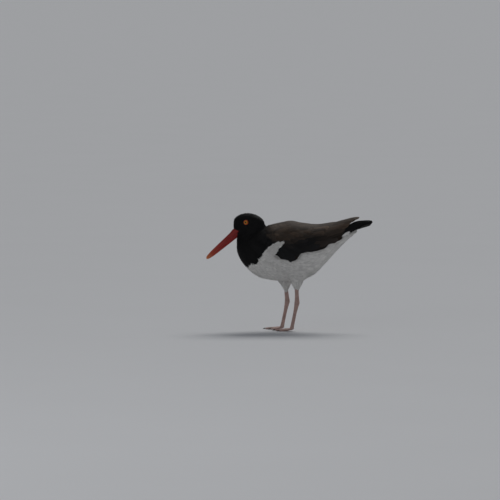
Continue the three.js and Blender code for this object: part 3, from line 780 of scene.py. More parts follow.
def hood_share(p):
    """1 in the black hood and 0 in the white, from places in millimetres, with a soft uneven edge."""
    line = np.interp(p[:, 0], *HOOD_LINE)
    ripple = 1.6 * np.sin(p[:, 0] * 0.55 + p[:, 1] * 0.3) + 1.2 * np.sin(p[:, 1] * 0.47 + 1.3)
    return np.where(p[:, 0] < HOOD_REAR, smooth(-1.0, 1.0, p[:, 2] - line + ripple), 0.0)


def markings(p):
    """The plumage's colours at places in millimetres, with painted shade low on the white."""
    x, z = p[:, 0], p[:, 2]
    # Painted shade: the white a little darker low down on the body
    white = pigment("white") * (0.94 + 0.06 * smooth(110, 160, z)[:, None])
    back = (smooth(-40, -30, x) * smooth(196, 206, z) * (1 - smooth(88, 96, x)))[:, None]
    return blend(blend(white, pigment("brown"), back), pigment("black"), hood_share(p)[:, None])


def flow(p, legs):
    """The way that feathers lie at places in millimetres: away from the bill, and down breast and legs."""
    if legs:
        return np.broadcast_to(np.array((0.18, 0.0, -1.0)), p.shape)
    from_bill = p - BILL_BASE
    far = np.linalg.norm(from_bill, axis=1, keepdims=True)
    down = np.interp(p[:, 2], (120, 135, 165, 195, 215, 240), (-0.25, -0.5, -1.3, -1.9, -0.9, -0.25))
    body = np.interp(p[:, 0], (-60, 0, 60, 110), (-0.3, -0.12, 0.25, 0.45))
    fall = blend(body, down, smooth(-35, -80, p[:, 0]))
    plainly = unit(np.stack([np.ones(len(p)), np.zeros(len(p)), fall], 1))
    return unit(blend(plainly, from_bill / far, np.exp(-far / 22)))


def feather_length(p, legs=False):
    """How long a small feather is at places in millimetres."""
    if legs:
        return np.interp(p[:, 2], (86, 100, 134), (3.6, 7.5, 13.0))
    return np.clip(2.4 + 0.082 * np.linalg.norm(p - BILL_BASE, axis=1), 2.4, 16.5)


def coat_depth(p):
    """How far the feathers' outside stands from the skin, in millimetres."""
    return np.clip(0.8 + 0.11 * feather_length(p), 0.8, settings("plumage").coat / MM)


def bare(p):
    """Where no small feather grows: in the bill, in the eye and well under the wings."""
    x, y, z = p.T
    ahead, up = (p - BILL_BASE) @ BILL_AHEAD, (p - BILL_BASE) @ BILL_UP
    in_bill = (ahead > -8) & ((up / 9.6) ** 2 + (y / 6.6) ** 2 < 1)
    in_gape = (ahead > -12) & (np.abs(up - BILL_MOUTH) < 0.7 + 2.4 * smooth(-12, -3, ahead))
    in_eye = np.hypot(x - EYE[0] + 1.3, z - EYE[2]) < 6.4
    under = (x > -44) & (x < 112) & (z > WING_EDGE(x) + 9)
    return in_bill | in_gape | in_eye | under


def scatter(target, spacing, keep, rng):
    """Evenly spaced places on a mesh, with their normals, in millimetres."""
    mesh = target.data
    mesh.calc_loop_triangles()
    corner = np.empty(len(mesh.loop_triangles) * 3, np.int32)
    mesh.loop_triangles.foreach_get("vertices", corner)
    corner = corner.reshape(-1, 3)
    place, normal = points_of(mesh) / MM, points_of(mesh, "normal")
    a, b, c = (place[corner[:, i]] for i in range(3))
    centre = (a + b + c) / 3
    weight = np.linalg.norm(np.cross(b - a, c - a), axis=1) / spacing(centre) ** 2 * keep(centre)
    count = int(weight.sum() * 1.6)
    chosen = rng.choice(len(corner), count, p=weight / weight.sum())
    u, v = rng.random(count), rng.random(count)
    u, v = np.where(u + v > 1, 1 - u, u), np.where(u + v > 1, 1 - v, v)
    share = np.stack([1 - u - v, u, v], 1)[:, :, None]
    points = (place[corner[chosen]] * share).sum(1)
    normals = unit((normal[corner[chosen]] * share).sum(1))
    gap = spacing(points)
    cell = float(gap.max())
    grid, kept = {}, []
    for i, (p, own) in enumerate(zip(points.tolist(), gap.tolist())):
        key = tuple(int(part // cell) for part in p)
        near = [q for dx in (-1, 0, 1) for dy in (-1, 0, 1) for dz in (-1, 0, 1)
                for q in grid.get((key[0] + dx, key[1] + dy, key[2] + dz), ())]
        if all((p[0] - q[0]) ** 2 + (p[1] - q[1]) ** 2 + (p[2] - q[2]) ** 2 > own * own for q in near):
            grid.setdefault(key, []).append(p)
            kept.append(i)
    return points[kept], normals[kept]


def lie(tree, points, normals, lengths, stations, legs):
    """Paths of feathers over the skin, from each root along the lie of the coat."""
    path, out = [points], [normals]
    here, up = points, normals
    for _ in range(stations - 1):
        way = flow(here, legs)
        way = unit(way - up * (way * up).sum(1, keepdims=True))
        step = here + way * (lengths / (stations - 1))[:, None]
        found = [tree.find_nearest(p) for p in step.tolist()]
        here = np.array([f[0] for f in found])
        up = unit(0.5 * up + 0.5 * np.array([f[1] for f in found]))
        path.append(here)
        out.append(up)
    path, out = np.stack(path, 1), np.stack(out, 1)
    s = np.linspace(0, 1, stations)[None, :, None]
    depth = coat_depth(points)[:, None, None]
    return path + out * (-0.5 + (depth + 0.5) * s**0.8), out


# Stage

CAMERA_AIM = Vector((-0.0869, 0, 0.1771))
LAMP_AIM = Vector((0, 0, 0.17))
# Lamps: name, kind, place, power and colour
LAMPS = (
    ("key", "SUN", (0.9, 2.2, 3.6), 1.25, (1.0, 0.985, 0.96)),
    ("fill", "AREA", (-1.8, -2.6, 1.5), 7.0, (0.95, 0.97, 1.0)),
)


def aimed(target, location, aim):
    """Stands a camera or a lamp at a place, turned to another place."""
    target.location = location
    target.rotation_euler = (aim - Vector(location)).to_track_quat("-Z", "Y").to_euler()
    bpy.context.scene.collection.objects.link(target)
    return target


class OYSTER_OT_stage(bpy.types.Operator):
    """Makes the camera, the plain pale floor and soft studio light."""

    bl_idname = "oystercatcher.stage"
    bl_label = "Stage"

    def execute(self, context):
        chosen = settings("stage")
        lens = bpy.data.cameras.new("camera")
        lens.lens = chosen.lens
        lens.sensor_width = 36
        lens.clip_end = 600
        back = Vector((0, -math.cos(chosen.elevation), math.sin(chosen.elevation)))
        camera = bpy.data.objects.new("camera", lens)
        context.scene.camera = aimed(camera, CAMERA_AIM + back * chosen.distance, CAMERA_AIM)
        self.floor(chosen.floor)
        for name, kind, location, power, colour in LAMPS:
            light = bpy.data.lights.new(name, kind)
            light.energy, light.color = power, colour
            if kind == "SUN":
                light.angle = math.radians(28)
            else:
                light.shape, light.size = "DISK", 2.4
            aimed(bpy.data.objects.new(name, light), location, LAMP_AIM)
        world = bpy.data.worlds.new("studio")
        world.use_nodes = True
        sky = world.node_tree.nodes["Background"].inputs
        sky["Color"].default_value = (0.80, 0.83, 0.88, 1)
        sky["Strength"].default_value = 0.25
        context.scene.world = world
        context.scene.view_settings.view_transform = "Standard"
        return {"FINISHED"}

    def floor(self, colour):
        """A plain floor, just under the soles."""
        bpy.ops.object.select_all(action="DESELECT")
        bpy.ops.mesh.primitive_grid_add(x_subdivisions=8, y_subdivisions=8, size=500,
                                        location=(0, 0, -0.2 * MM))
        floor = bpy.context.active_object
        floor.name = "floor"
        finish, tree, shader = material("floor_pale", Roughness=0.9)
        mottled(tree, shader, plain(tree, colour), place_on(tree), 3.0, 0.03)
        floor.data.materials.append(finish)


# Skin and small feathers

# Turns round a section of the skin, and shares along it that stand closer at its ends
ROUND = np.linspace(0, 2 * math.pi, 72, endpoint=False)
ALONG = (1 - np.cos(np.linspace(0.04, 0.96, 60) * math.pi)) / 2


class OYSTER_OT_skin(bpy.types.Operator):
    """Makes one skin for the body, neck, head and thighs, inside the coat."""

    bl_idname = "oystercatcher.skin"
    bl_label = "Skin"

    def execute(self, context):
        skin = self.torso()
        only(skin, self.neck(), *[self.thigh(*values) for values in THIGHS.values()])
        bpy.ops.object.join()
        apply(skin, "REMESH", mode="VOXEL", voxel_size=1.6 * MM)
        apply(skin, "SMOOTH", factor=0.6, iterations=14)
        place = points_of(skin.data) / MM
        place[:, 1] *= 1 - 0.25 * smooth(-24, -6, (place - BILL_BASE) @ BILL_AHEAD)
        head = smooth(205, 222, place[:, 2]) * smooth(-40, -60, place[:, 0])
        sunk = coat_depth(place) - 0.9 * head
        move_points(skin.data, place - points_of(skin.data, "normal") * sunk[:, None])
        apply(skin, "SMOOTH", factor=0.5, iterations=6)
        smooth_shading(skin)
        # Painted shade: the skin takes the markings a little darker, as in the gaps under the feathers
        paint(skin.data, markings(points_of(skin.data) / MM) * 0.85)
        settle(skin, "white_plumage", skin_material(), "torso", "neck", "head", "thigh_left", "thigh_right")
        return {"FINISHED"}

    def torso(self):
        """The body, rounded off at the breast and under the tail."""
        front, rear = TORSO_ENDS
        x = (front + (rear - front) * ALONG)[:, None]
        size = round_off(x - front, 62) * round_off(rear - x, 6)
        middle = np.stack([x, 0 * x, TORSO["waist"](x)], -1)
        rings = middle + (on_section(TORSO, x, ROUND[None]) - middle) * size[..., None]
        return loft("skin", rings, [(end, 0, float(TORSO["waist"](end))) for end in TORSO_ENDS])

    def neck(self):
        """The neck and the head."""
        low, high = NECK_ENDS
        z = (low + (high - low) * ALONG)[:, None]
        size = round_off(z - low, 30) * round_off(high - z, 17)
        front, back = NECK["front"](z), NECK["back"](z)
        along = (front + back) / 2 + (back - front) / 2 * size * np.cos(ROUND)
        narrow = 1 - NECK["taper"](z) * (0.5 - 0.5 * np.cos(ROUND))
        squared = (1 + 0.1 * np.cos(2 * ROUND)) / 0.9
        across = NECK["half"](z) * size * narrow * np.sin(ROUND) * squared
        rings = np.stack([along, across, z + 0 * ROUND], -1)
        return loft("neck", rings, [(NECK_X, 0, low), (NECK_X, 0, high)])

    def thigh(self, sign, thigh_x, cuff_x, cuff_z):
        """One thigh, from inside the body down into its cuff."""
        z = np.array([cuff_z - 10, cuff_z - 3, cuff_z, cuff_z + 3, 99, 105, 112, 121, 134.0])[:, None]
        share = np.clip((z - cuff_z) / 40, 0, 1)
        middle_x, middle_y = cuff_x + (thigh_x - cuff_x) * share, sign * (LEG_SPREAD + 3 * share)
        core = 2.4 * smooth(cuff_z - 1, cuff_z - 5, z)
        rings = np.stack([
            middle_x + (5.8 - core + 24.2 * share**1.05) * np.cos(ROUND),
            middle_y + (5.4 - core + 11.6 * share**1.1) * np.sin(ROUND),
            z + 0 * ROUND,
        ], -1)
        return loft("thigh", rings, [(cuff_x, sign * LEG_SPREAD, cuff_z - 10), (thigh_x, sign * 24, 134)])


# The height of the face coat's lower end, and the x of the breast coat's rear end
FACE_LOW = 205
BREAST_REAR = -10


def on_face(p):
    """Places on the head."""
    return (p[:, 2] > FACE_LOW) & (p[:, 0] < HOOD_REAR)


def on_neck(p):
    """Places on the black below the head."""
    return (p[:, 2] <= FACE_LOW) & (hood_share(p) > 0.5)


def on_white(p):
    """Places on the white of the body."""
    return (hood_share(p) <= 0.5) & ~on_face(p) & (p[:, 2] >= THIGH_TOP)


def on_breast(p):
    """Places on the front of the white."""
    return on_white(p) & (p[:, 0] <= BREAST_REAR)


def on_belly(p):
    """Places on the rear of the white."""
    return on_white(p) & (p[:, 0] > BREAST_REAR)


def on_thigh(p):
    """Places on the feathered thighs, down to their cuffs."""
    cuff = np.where(p[:, 1] < 0, THIGHS["left"][3], THIGHS["right"][3])
    return (p[:, 2] < THIGH_TOP) & (p[:, 2] > cuff - 1.5)


BOTH, WHOLE = tuple(SIDES), (None,)
# Coats: name, where it grows, its pieces, strips in each feather, the feathers' spacing and half width as
# shares of their length, and the places along each
COATS = (
    ("face_coat", on_face, WHOLE, 3, 0.245, 0.24, 4),
    ("neck_coat", on_neck, BOTH, 5, 0.215, 0.23, 5),
    ("breast_coat", on_breast, BOTH, 7, 0.18, 0.24, 5),
    ("belly_coat", on_belly, BOTH, 7, 0.18, 0.24, 5),
    ("thigh_coat", on_thigh, WHOLE, 5, 0.22, 0.24, 5),
)


class OYSTER_OT_small_feathers(bpy.types.Operator):
    """Covers the skin with small feathers that follow the lie of the coat."""

    bl_idname = "oystercatcher.small_feathers"
    bl_label = "Small Feathers"

    def execute(self, context):
        self.skin = bpy.data.objects["skin"]
        corners = points_of(self.skin.data) / MM
        faces = [list(face.vertices) for face in self.skin.data.polygons]
        self.tree = BVHTree.FromPolygons(corners.tolist(), faces)
        white = ("white_plumage", plumage_material("plumage_white", 0.85, 0.2, 0.08, 0.12, 90.0))
        black = ("black_plumage", plumage_material("plumage_black", 0.6, 0.02, 0.25, 0.5, 90.0))
        number = 0
        for name, region, sides, *shape in COATS:
            look = black if region in (on_face, on_neck) else white
            for side in sides:
                coat = self.grow(region, side, region is on_thigh, dice(number), *shape)
                settle(coat.build(f"{name}_{side}" if side else name), *look)
                number += 1
        return {"FINISHED"}

    def grow(self, region, side, legs, rng, strips, gap, wide, stations):
        """The coat of one part of the skin."""

        def spacing(p):
            return feather_length(p, legs) * gap / settings("plumage").density

        def keep(p):
            near = {"left": p[:, 1] <= 0, "right": p[:, 1] > 0}.get(side, True)
            return region(p) & near & ~bare(p)

        points, normals = scatter(self.skin, spacing, keep, rng)
        lengths = feather_length(points, legs) * rng.uniform(0.8, 1.2, len(points))
        path, out = lie(self.tree, points, normals, lengths, stations, legs)
        stray = 1 + 0.07 * rng.standard_normal((len(points), 1))
        coat = Coat()
        plumes(coat, path, out, lengths * wide, markings(path[:, -2]) * stray, rng, strips)
        return coat


# Wings and back

# Tiers of a wing: name, count, first and last root, first and last tip, all as x and share down the wing,
# then half width, lift of the tips and roll
WING_TIERS = (
    ("primaries", 6, (88, 0.88), (112, 0.6), (152, 0.98), (182.2, 0.76), 4.7, -1.2, 0.3),
    ("secondaries", 12, (26, 0.88), (66, 0.72), (84, 0.91), (121.5, 0.68), 6.0, -0.1, 0.4),
    ("greater", 18, (-46, 0.66), (58, 0.72), (-16, 0.93), (106, 0.89), 5.2, 0.5, -0.45),
    ("median_low", 20, (-47, 0.58), (48, 0.64), (-20, 0.83), (92, 0.8), 4.6, 0.6, -0.4),
    ("median", 20, (-48, 0.5), (40, 0.55), (-22, 0.73), (82, 0.71), 4.4, 0.7, -0.4),
    ("lesser_1", 21, (-49, 0.42), (34, 0.47), (-24, 0.63), (72, 0.62), 4.2, 0.8, -0.4),
    ("lesser_2", 21, (-50, 0.34), (28, 0.39), (-27, 0.54), (64, 0.53), 4.1, 0.9, -0.4),
    ("lesser_3", 21, (-51, 0.26), (22, 0.31), (-30, 0.45), (56, 0.45), 4.1, 1.0, -0.4),
    ("lesser_4", 20, (-52, 0.18), (16, 0.23), (-32, 0.36), (49, 0.37), 4.1, 1.05, -0.4),
    ("tertials", 5, (40, 0.56), (58, 0.1), (123, 0.64), (153.5, 0.2), 8.4, 0.5, 0.45),
    ("tertial_coverts", 5, (30, 0.5), (48, 0.06), (76, 0.54), (98, 0.14), 6.4, 0.9, -0.4),
    ("scapulars_1", 9, (-12, 0.3), (22, 0.17), (24, 0.4), (66, 0.25), 5.6, 1.1, -0.4),
    ("scapulars_2", 11, (-30, 0.22), (12, 0.1), (0, 0.32), (50, 0.2), 5.2, 1.2, -0.4),
    ("scapulars_3", 11, (-40, 0.14), (4, 0.04), (-12, 0.24), (37, 0.12), 5.0, 1.3, -0.4),
    ("scapulars_4", 11, (-44, 0.05), (-4, 0.0), (-19, 0.15), (27, 0.05), 5.0, 1.4, -0.3),
)
# How the long feathers differ from the short ones, which all lie flat
FLAT = {"sunk": 0.4, "rise": 0.55}
LONG = {
    "primaries": {"sunk": 1.6, "slim": 0.35, "stations": 18},
    "secondaries": {"stations": 15},
    "tertials": {"stations": 20, "thick": 0.5},
}
# The cape over the front of the back: x of the roots and tips, half width and lift
CAPE = ((-55, -33, 4.3, 2.0), (-58, -39, 4.0, 2.1), (-61, -45, 3.6, 1.8), (-65, -51, 3.2, 0.9))
# The back's rows from the rear forwards: the x of the roots, in two lengths
LONG_BACK = (68, 52, 40)
SHORT_BACK = np.linspace(30, -47, 12)


def wing_colour_and_shade(tips, rng):
    """Brown above, and nearly black below and in front, which is painted shade, as the light falls on the
    real one.
    """
    x, share = tips[:, 0], tips[:, 1]
    # Painted shade: the wing darkens downwards, less so towards its rear
    low = smooth(0.42, 0.78, share) * (1 - 0.55 * smooth(60, 110, x))
    # More painted shade towards the wing's front
    dark = np.clip(low + 0.75 * smooth(-20, -50, x), 0, 1)
    dark = np.where(x > 150, np.maximum(dark, smooth(0.4, 0.6, share)), dark)
    warm = 1 + 0.12 * rng.standard_normal((len(x), 1)) * (0.4, 0.1, -0.2)
    return blend(pigment("brown"), pigment("black") * 1.25, dark[:, None]) * warm


class OYSTER_OT_wings(bpy.types.Operator):
    """Makes the folded wings and the back: tiers of long feathers, upper ones over lower ones."""

    bl_idname = "oystercatcher.wings"
    bl_label = "Wings and Back"

    def execute(self, context):
        finish = plumage_material("plumage_wing", 0.58, 0.03, 0.3, 0.45, 420.0)
        # The beds under the feathers share the skin's material, and their painted colour is dark brown as
        # shade
        shade_bedding = bpy.data.materials["skin_down"]
        for side, sign in SIDES.items():
            settle(self.wing_shade_bed(side, sign), "wing_feathers", shade_bedding)
            wing = self.wing(sign).build(f"wing_feathers_{side}")
            settle(wing, "wing_feathers", finish, f"wing_{side}")
        back = self.back()
        settle(self.back_shade_bed(), "brown_plumage", shade_bedding)
        settle(back.build("back_feathers"), "brown_plumage", finish, "mantle")
        return {"FINISHED"}

    def wing_shade_bed(self, side, sign):
        """A smooth sheet under the wing's feathers, painted dark brown as shade in the gaps between them."""
        bpy.ops.object.select_all(action="DESELECT")
        bpy.ops.mesh.primitive_grid_add(x_subdivisions=44, y_subdivisions=20, size=2)
        bed = bpy.context.active_object
        bed.name = f"wing_shade_bed_{side}"
        along, share = (points_of(bed.data)[:, :2].T + 1) / 2
        x = -52 + 168 * along
        sunk = -1.4 - 0.8 * (2 * share - 1) ** 6 - 3 * smooth(-38, -52, x)
        move_points(bed.data, on_cloak(sign, x, wing_angle(x, 0.01 + 0.92 * share), sunk))
        apply(bed, "SOLIDIFY", thickness=1.2 * MM, offset=0)
        face_outwards(bed)
        smooth_shading(bed)
        # Painted shade: dark brown for the gaps between the feathers
        paint(bed.data, pigment("brown") * 0.45)
        return bed

    def wing(self, sign):
        """All the tiers of one folded wing, lowest first."""
        rng = dice(40 + sign)
        coat = Coat()
        for name, count, first, last, first_tip, last_tip, half, lift, roll in WING_TIERS:
            t = np.linspace(0, 1, count)[:, None]
            start = blend(np.array(first), np.array(last), t)
            stray = np.where(t < 1, 1, 0) * rng.standard_normal((count, 2)) * (1.1, 0.008)
            end = blend(np.array(first_tip), np.array(last_tip), t) + np.clip(stray, -2.2, 2.2)
            starts, ends = (np.stack([p[:, 0], wing_angle(p[:, 0], p[:, 1])], 1) for p in (start, end))
            colour = wing_colour_and_shade(end, rng)
            if name in ("primaries", "secondaries"):
                colour = colour * 0.55
            quills(coat, over_wing(sign), arc_radius, starts, ends, half, rng, colour, lift=lift, roll=roll,
                   fringe=0.25, **LONG.get(name, FLAT))
        return coat

    def back(self):
        """Rows of feathers on the back between the wings, and the cape in front of them."""
        rng = dice(60)
        coat = Coat()
        for row, root in enumerate((*LONG_BACK, *SHORT_BACK)):
            half, reach = (5.8, 34) if root in LONG_BACK else (4.9, 24)
            count = max(3, round(2 * float(back_angle(root) * arc_radius(np.array(root), 0.1)) / 5.6) + 1)
            side = np.linspace(-1, 1, count)
            tip = root + reach - 5 * np.abs(side) + 1.2 * rng.standard_normal(count)
            starts = np.stack([np.full(count, root), side * back_angle(root) * 0.93], 1)
            ends = np.stack([tip, side * back_angle(tip) * 0.98], 1)
            brown = pigment("brown") * (1 + 0.14 * rng.standard_normal((count, 1)))
            colour = blend(brown, pigment("black") * 1.3, smooth(-26, -50, tip)[:, None])
            quills(coat, over_wing(1), arc_radius, starts, ends, half, rng, colour, lift=0.5 + 0.06 * row,
                   fringe=0.3, **FLAT)
        for root, tip, half, lift in CAPE:
            count = round(120 / half)
            share = np.linspace(-1, 1, count)
            reach = tip + 1.3 * rng.standard_normal(count)
            starts = np.stack([np.full(count, root), cape_angle(root, share)], 1)
            ends = np.stack([reach, cape_angle(reach, share)], 1)
            brown = (smooth(-56, -34, reach) * smooth(0.75, 0.4, np.abs(share)))[:, None]
            colour = blend(pigment("black") * 0.9, pigment("brown") * 0.8, brown)
            quills(coat, over_wing(1), arc_radius, starts, ends, half, rng, colour, stations=9, columns=5,
                   sunk=6.5, lift=lift, fringe=0.15)
        return coat

    def back_shade_bed(self):
        """A smooth copy of the back's solid, a little smaller, under its feathers, painted dark brown as
        shade in the gaps.
        """
        bed = bpy.data.objects.new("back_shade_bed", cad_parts["mantle"].data.copy())
        bpy.context.scene.collection.objects.link(bed)
        only(bed)
        bpy.ops.object.mode_set(mode="EDIT")
        bpy.ops.mesh.select_all(action="SELECT")
        bpy.ops.mesh.remove_doubles(threshold=1e-6)
        bpy.ops.object.mode_set(mode="OBJECT")
        apply(bed, "REMESH", mode="VOXEL", voxel_size=1.2 * MM)
        apply(bed, "SMOOTH", factor=0.5, iterations=6)
        apply(bed, "DISPLACE", strength=-1.6 * MM, mid_level=0.0, direction="NORMAL")
        smooth_shading(bed)
        # Painted shade: dark brown for the gaps between the feathers
        paint(bed.data, pigment("brown") * 0.5)
        return bed


# Tail and flanks

# The white spur's front and rear edges: share of the way up, x and z
SPUR_LEFT = ((0, 0.25, 0.5, 0.75, 1), (-61, -56, -50, -41, -28), (162, 172, 182, 191, 199))
SPUR_RIGHT = ((0, 0.25, 0.5, 0.75, 1), (-19, -33, -27, -20, -11), (156, 169, 178, 190, 199))
SPUR_FEATHERS = 230
RUMP_FEATHERS = 7


def one_to_one(x, aside):
    """How far one unit across the tail goes: one millimetre."""
    return np.ones_like(x)


def spur_edge(edge, t):
    """Places on an edge of the spur, at shares of the way up."""
    return np.stack([np.interp(t, edge[0], values) for values in edge[1:]], 1)


class OYSTER_OT_tail(bpy.types.Operator):
    """Makes the tail feathers and the white spur of flank feathers over each wing's front."""

    bl_idname = "oystercatcher.tail"
    bl_label = "Tail and Flanks"

    def execute(self, context):
        finish = bpy.data.materials["plumage_wing"]
        settle(self.tail().build("tail_feathers"), "tail_feathers", finish, "tail")
        for side, sign in SIDES.items():
            rng = dice(90 + sign)
            coat = Coat()
            self.spur(coat, sign, rng)
            self.rump_side(coat, sign, rng)
            settle(coat.build(f"flank_spur_{side}"), "white_plumage", bpy.data.materials["plumage_white"])
        return {"FINISHED"}

    def tail(self):
        """Long feathers that lie in pairs, each pair lower and turned further out than the last."""
        rng = dice(80)
        coat = Coat()
        number = np.arange(TAIL["feathers"])
        rank = number // 2
        sign = np.where(number % 2, 1, -1)
        lean = np.tan(np.radians(TAIL["fan"] * (rank + 0.5)) * sign)
        reach = TAIL["tip_x"] - TAIL["root_x"] - 1.2 * rank
        root = np.full(len(number), 24.0)
        starts, ends = (np.stack([TAIL["root_x"] + far, sign + lean * far], 1) for far in (root, reach))
        for each in number:
            one = slice(each, each + 1)
            quills(coat, over_tail(-0.6 * rank[each]), one_to_one, starts[one], ends[one], TAIL["width"] / 2,
                   rng, pigment("black") * 1.3, stations=16, sunk=0.4, lift=0.4, roll=-0.2 * sign[each],
                   thick=0.55, fringe=0.2)
        return coat

    def spur(self, coat, sign, rng):
        """White flank feathers that lie up over the front of a folded wing."""
        count = SPUR_FEATHERS
        t, across = rng.random(count), rng.random(count) ** 0.8
        front, rear = spur_edge(SPUR_LEFT, t), spur_edge(SPUR_RIGHT, t)
        end = front + (rear - front) * (0.04 + 0.96 * across[:, None]) + 0.8 * rng.standard_normal((count, 2))
        slope = np.radians(6 + 44 * t + 6 * rng.standard_normal(count))
        length = 11 + 6 * rng.random(count)
        start = end - np.stack([np.cos(slope), np.sin(slope)], 1) * length[:, None]
        start[:, 0] = np.maximum(start[:, 0], front[:, 0] - 3)
        s = np.linspace(0, 1, 6)
        x = start[:, :1] + (end[:, :1] - start[:, :1]) * s
        z = start[:, 1:] + (end[:, 1:] - start[:, 1:]) * s
        over = smooth(-60, -44, x) * smooth(-11, 1, z - WING_EDGE(x))
        rise = (-1.6 + (2.4 + 0.7 * rng.random((count, 1))) * s[None]) * (1 - over)
        rise = rise + over * (-3.4 + (6.2 + 0.6 * across[:, None]) * s[None])
        body = on_section(TORSO, x, angle_at(x, z, TORSO))[..., 1]
        wing = on_section(CLOAK, x, angle_at(x, z))[..., 1]
        path = np.stack([x, sign * (body + (wing - body) * over + rise), z], -1)
        colours = pigment("white") * (1 + 0.05 * rng.standard_normal((count, 1)))
        plumes(coat, path, off_cloak(sign, x, angle_at(x, z)), np.full(count, 2.7), colours, rng, 7)

    def rump_side(self, coat, sign, rng):
        """A few white feathers of the rump's side, between the wing's corner and the long black feathers."""
        count = RUMP_FEATHERS
        t = np.linspace(0, 1, count)
        start = np.stack([115 + 7 * t, 209.5 + 4.5 * t + rng.standard_normal(count)], 1)
        s = np.linspace(0, 1, 6)
        x = start[:, :1] + (8.5 + 2 * rng.random((count, 1))) * s
        angle = angle_at(x, start[:, 1:] + 4.2 * s)
        path = on_cloak(sign, x, angle, -0.5 + 2.2 * s[None] + 0 * x)
        colours = pigment("white") * (1 + 0.05 * rng.standard_normal((count, 1)))
        plumes(coat, path, off_cloak(sign, x, angle), np.full(count, 1.9), colours, rng, 5)


# Bill, eyes and legs

# Points round the arched side of half a bill, and across its flat side
ARCH_POINTS = 66
FLAT_POINTS = 14


class OYSTER_OT_bill(bpy.types.Operator):
    """Makes the two halves of the bill, with nostrils and the line of the mouth."""

    bl_idname = "oystercatcher.bill"
    bl_label = "Bill"

    def execute(self, context):
        finish = bill_material()
        for name in ("bill_upper", "bill_lower"):
            half = self.half(name + "_horn", name == "bill_upper")
            smooth_shading(half)
            settle(half, "bill", finish, name)
        return {"FINISHED"}

    def half(self, name, upper):
        """One half, with its cutting edge, and in the upper half the groove and slot of the nostrils."""
        s = (-15 + (BILL_LENGTH + 15) * np.linspace(0, 1, 130) ** 0.9)[:, None]
        size = np.maximum(round_off(BILL_LENGTH - s, 3.0), 0.3)
        reach = BILL["up"](s) - BILL_MOUTH if upper else BILL["down"](s) + BILL_MOUTH
        half = BILL["half"](s) * (1.02 if upper else 0.96)
        arc = np.linspace(-math.pi / 2, math.pi / 2, ARCH_POINTS)
        y = np.concatenate([np.sin(arc), np.linspace(1, -1, FLAT_POINTS + 2)[1:-1]])
        z = np.concatenate([np.cos(arc) ** 0.9, np.zeros(FLAT_POINTS)])
        across, up = half * size * y, 0.14 + (reach * size - 0.14) * z
        if upper:
            above = up - NOSTRIL["up"]
            slot_along = ((s - NOSTRIL["slot_ahead"]) / NOSTRIL["slot_long"]) ** 4
            slot = np.exp(-slot_along - (above / NOSTRIL["slot_high"]) ** 2)
            groove_along = ((s - NOSTRIL["groove_ahead"]) / NOSTRIL["groove_long"]) ** 4
            groove = np.exp(-groove_along - (above / NOSTRIL["groove_high"]) ** 2)
            across = across * (1 - (0.24 * slot + 0.05 * groove) * (np.arange(len(y)) < ARCH_POINTS))
        level = BILL_MOUTH + (up if upper else -up)
        along = s + 0 * across
        place = BILL_BASE + along[..., None] * BILL_AHEAD + level[..., None] * BILL_UP
        place = place + across[..., None] * (0, 1, 0)
        return loft(name, place, [place[0].mean(0), place[-1].mean(0) + 0.35 * BILL_AHEAD])


class OYSTER_OT_eyes(bpy.types.Operator):
    """Makes the eyeballs and the bare rings of the lids."""

    bl_idname = "oystercatcher.eyes"
    bl_label = "Eyes"

    def execute(self, context):
        chosen = settings("eye")
        wet = eye_material()
        lid_skin = bare_skin_material("lid_skin", chosen.ring, 1600, 0.2 * MM, 0.5, 0.3)
        for side, sign in SIDES.items():
            axis = Vector((-math.sin(EYE_YAW), sign * math.cos(EYE_YAW), 0))
            turn = axis.to_track_quat("Z", "Y").to_euler()
            middle = self.middle(f"eye_{side}", axis)
            bpy.ops.object.select_all(action="DESELECT")
            bpy.ops.mesh.primitive_uv_sphere_add(segments=64, ring_count=48, radius=chosen.radius,
                                                 location=middle, rotation=turn)
            ball = self.finished(f"eyeball_{side}")
            self.map_rings(ball.data, middle, axis, chosen.radius)
            settle(ball, "iris", wet, f"eye_{side}")
            bpy.ops.object.select_all(action="DESELECT")
            bpy.ops.mesh.primitive_torus_add(major_segments=72, minor_segments=18, rotation=turn,
                                             location=self.middle(f"eye_ring_{side}", axis), **LID)
            settle(self.finished(f"lid_ring_{side}"), "eye_ring", lid_skin, f"eye_ring_{side}")
        return {"FINISHED"}

    def middle(self, node, axis):
        """The middle of a solid, a little further out of the head."""
        low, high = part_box(node)
        return Vector((low + high) / 2) + axis * EYE_OUT * MM

    def finished(self, name):
        """The new primitive with its place in its mesh."""
        made = bpy.context.active_object
        made.name = name
        bpy.ops.object.transform_apply(location=True, rotation=True, scale=True)
        smooth_shading(made)
        return made

    def map_rings(self, mesh, middle, axis, radius):
        """Maps an eyeball by the distance from its axis and by the turn round it."""
        away = points_of(mesh) - np.array(middle)
        ahead = away @ np.array(axis)
        out = away - ahead[:, None] * np.array(axis)
        distance = np.where(ahead > 0, np.linalg.norm(out, axis=1) / (radius * 0.92), 1.2)
        turn = np.arctan2(out[:, 2], out[:, 0]) / (2 * math.pi) + 0.5
        values = np.stack([np.clip(distance, 0, 1), turn], 1)
        index = np.empty(len(mesh.loops), np.int32)
        mesh.loops.foreach_get("vertex_index", index)
        mesh.uv_layers[0].data.foreach_set("uv", values[index].astype(np.float32).ravel())


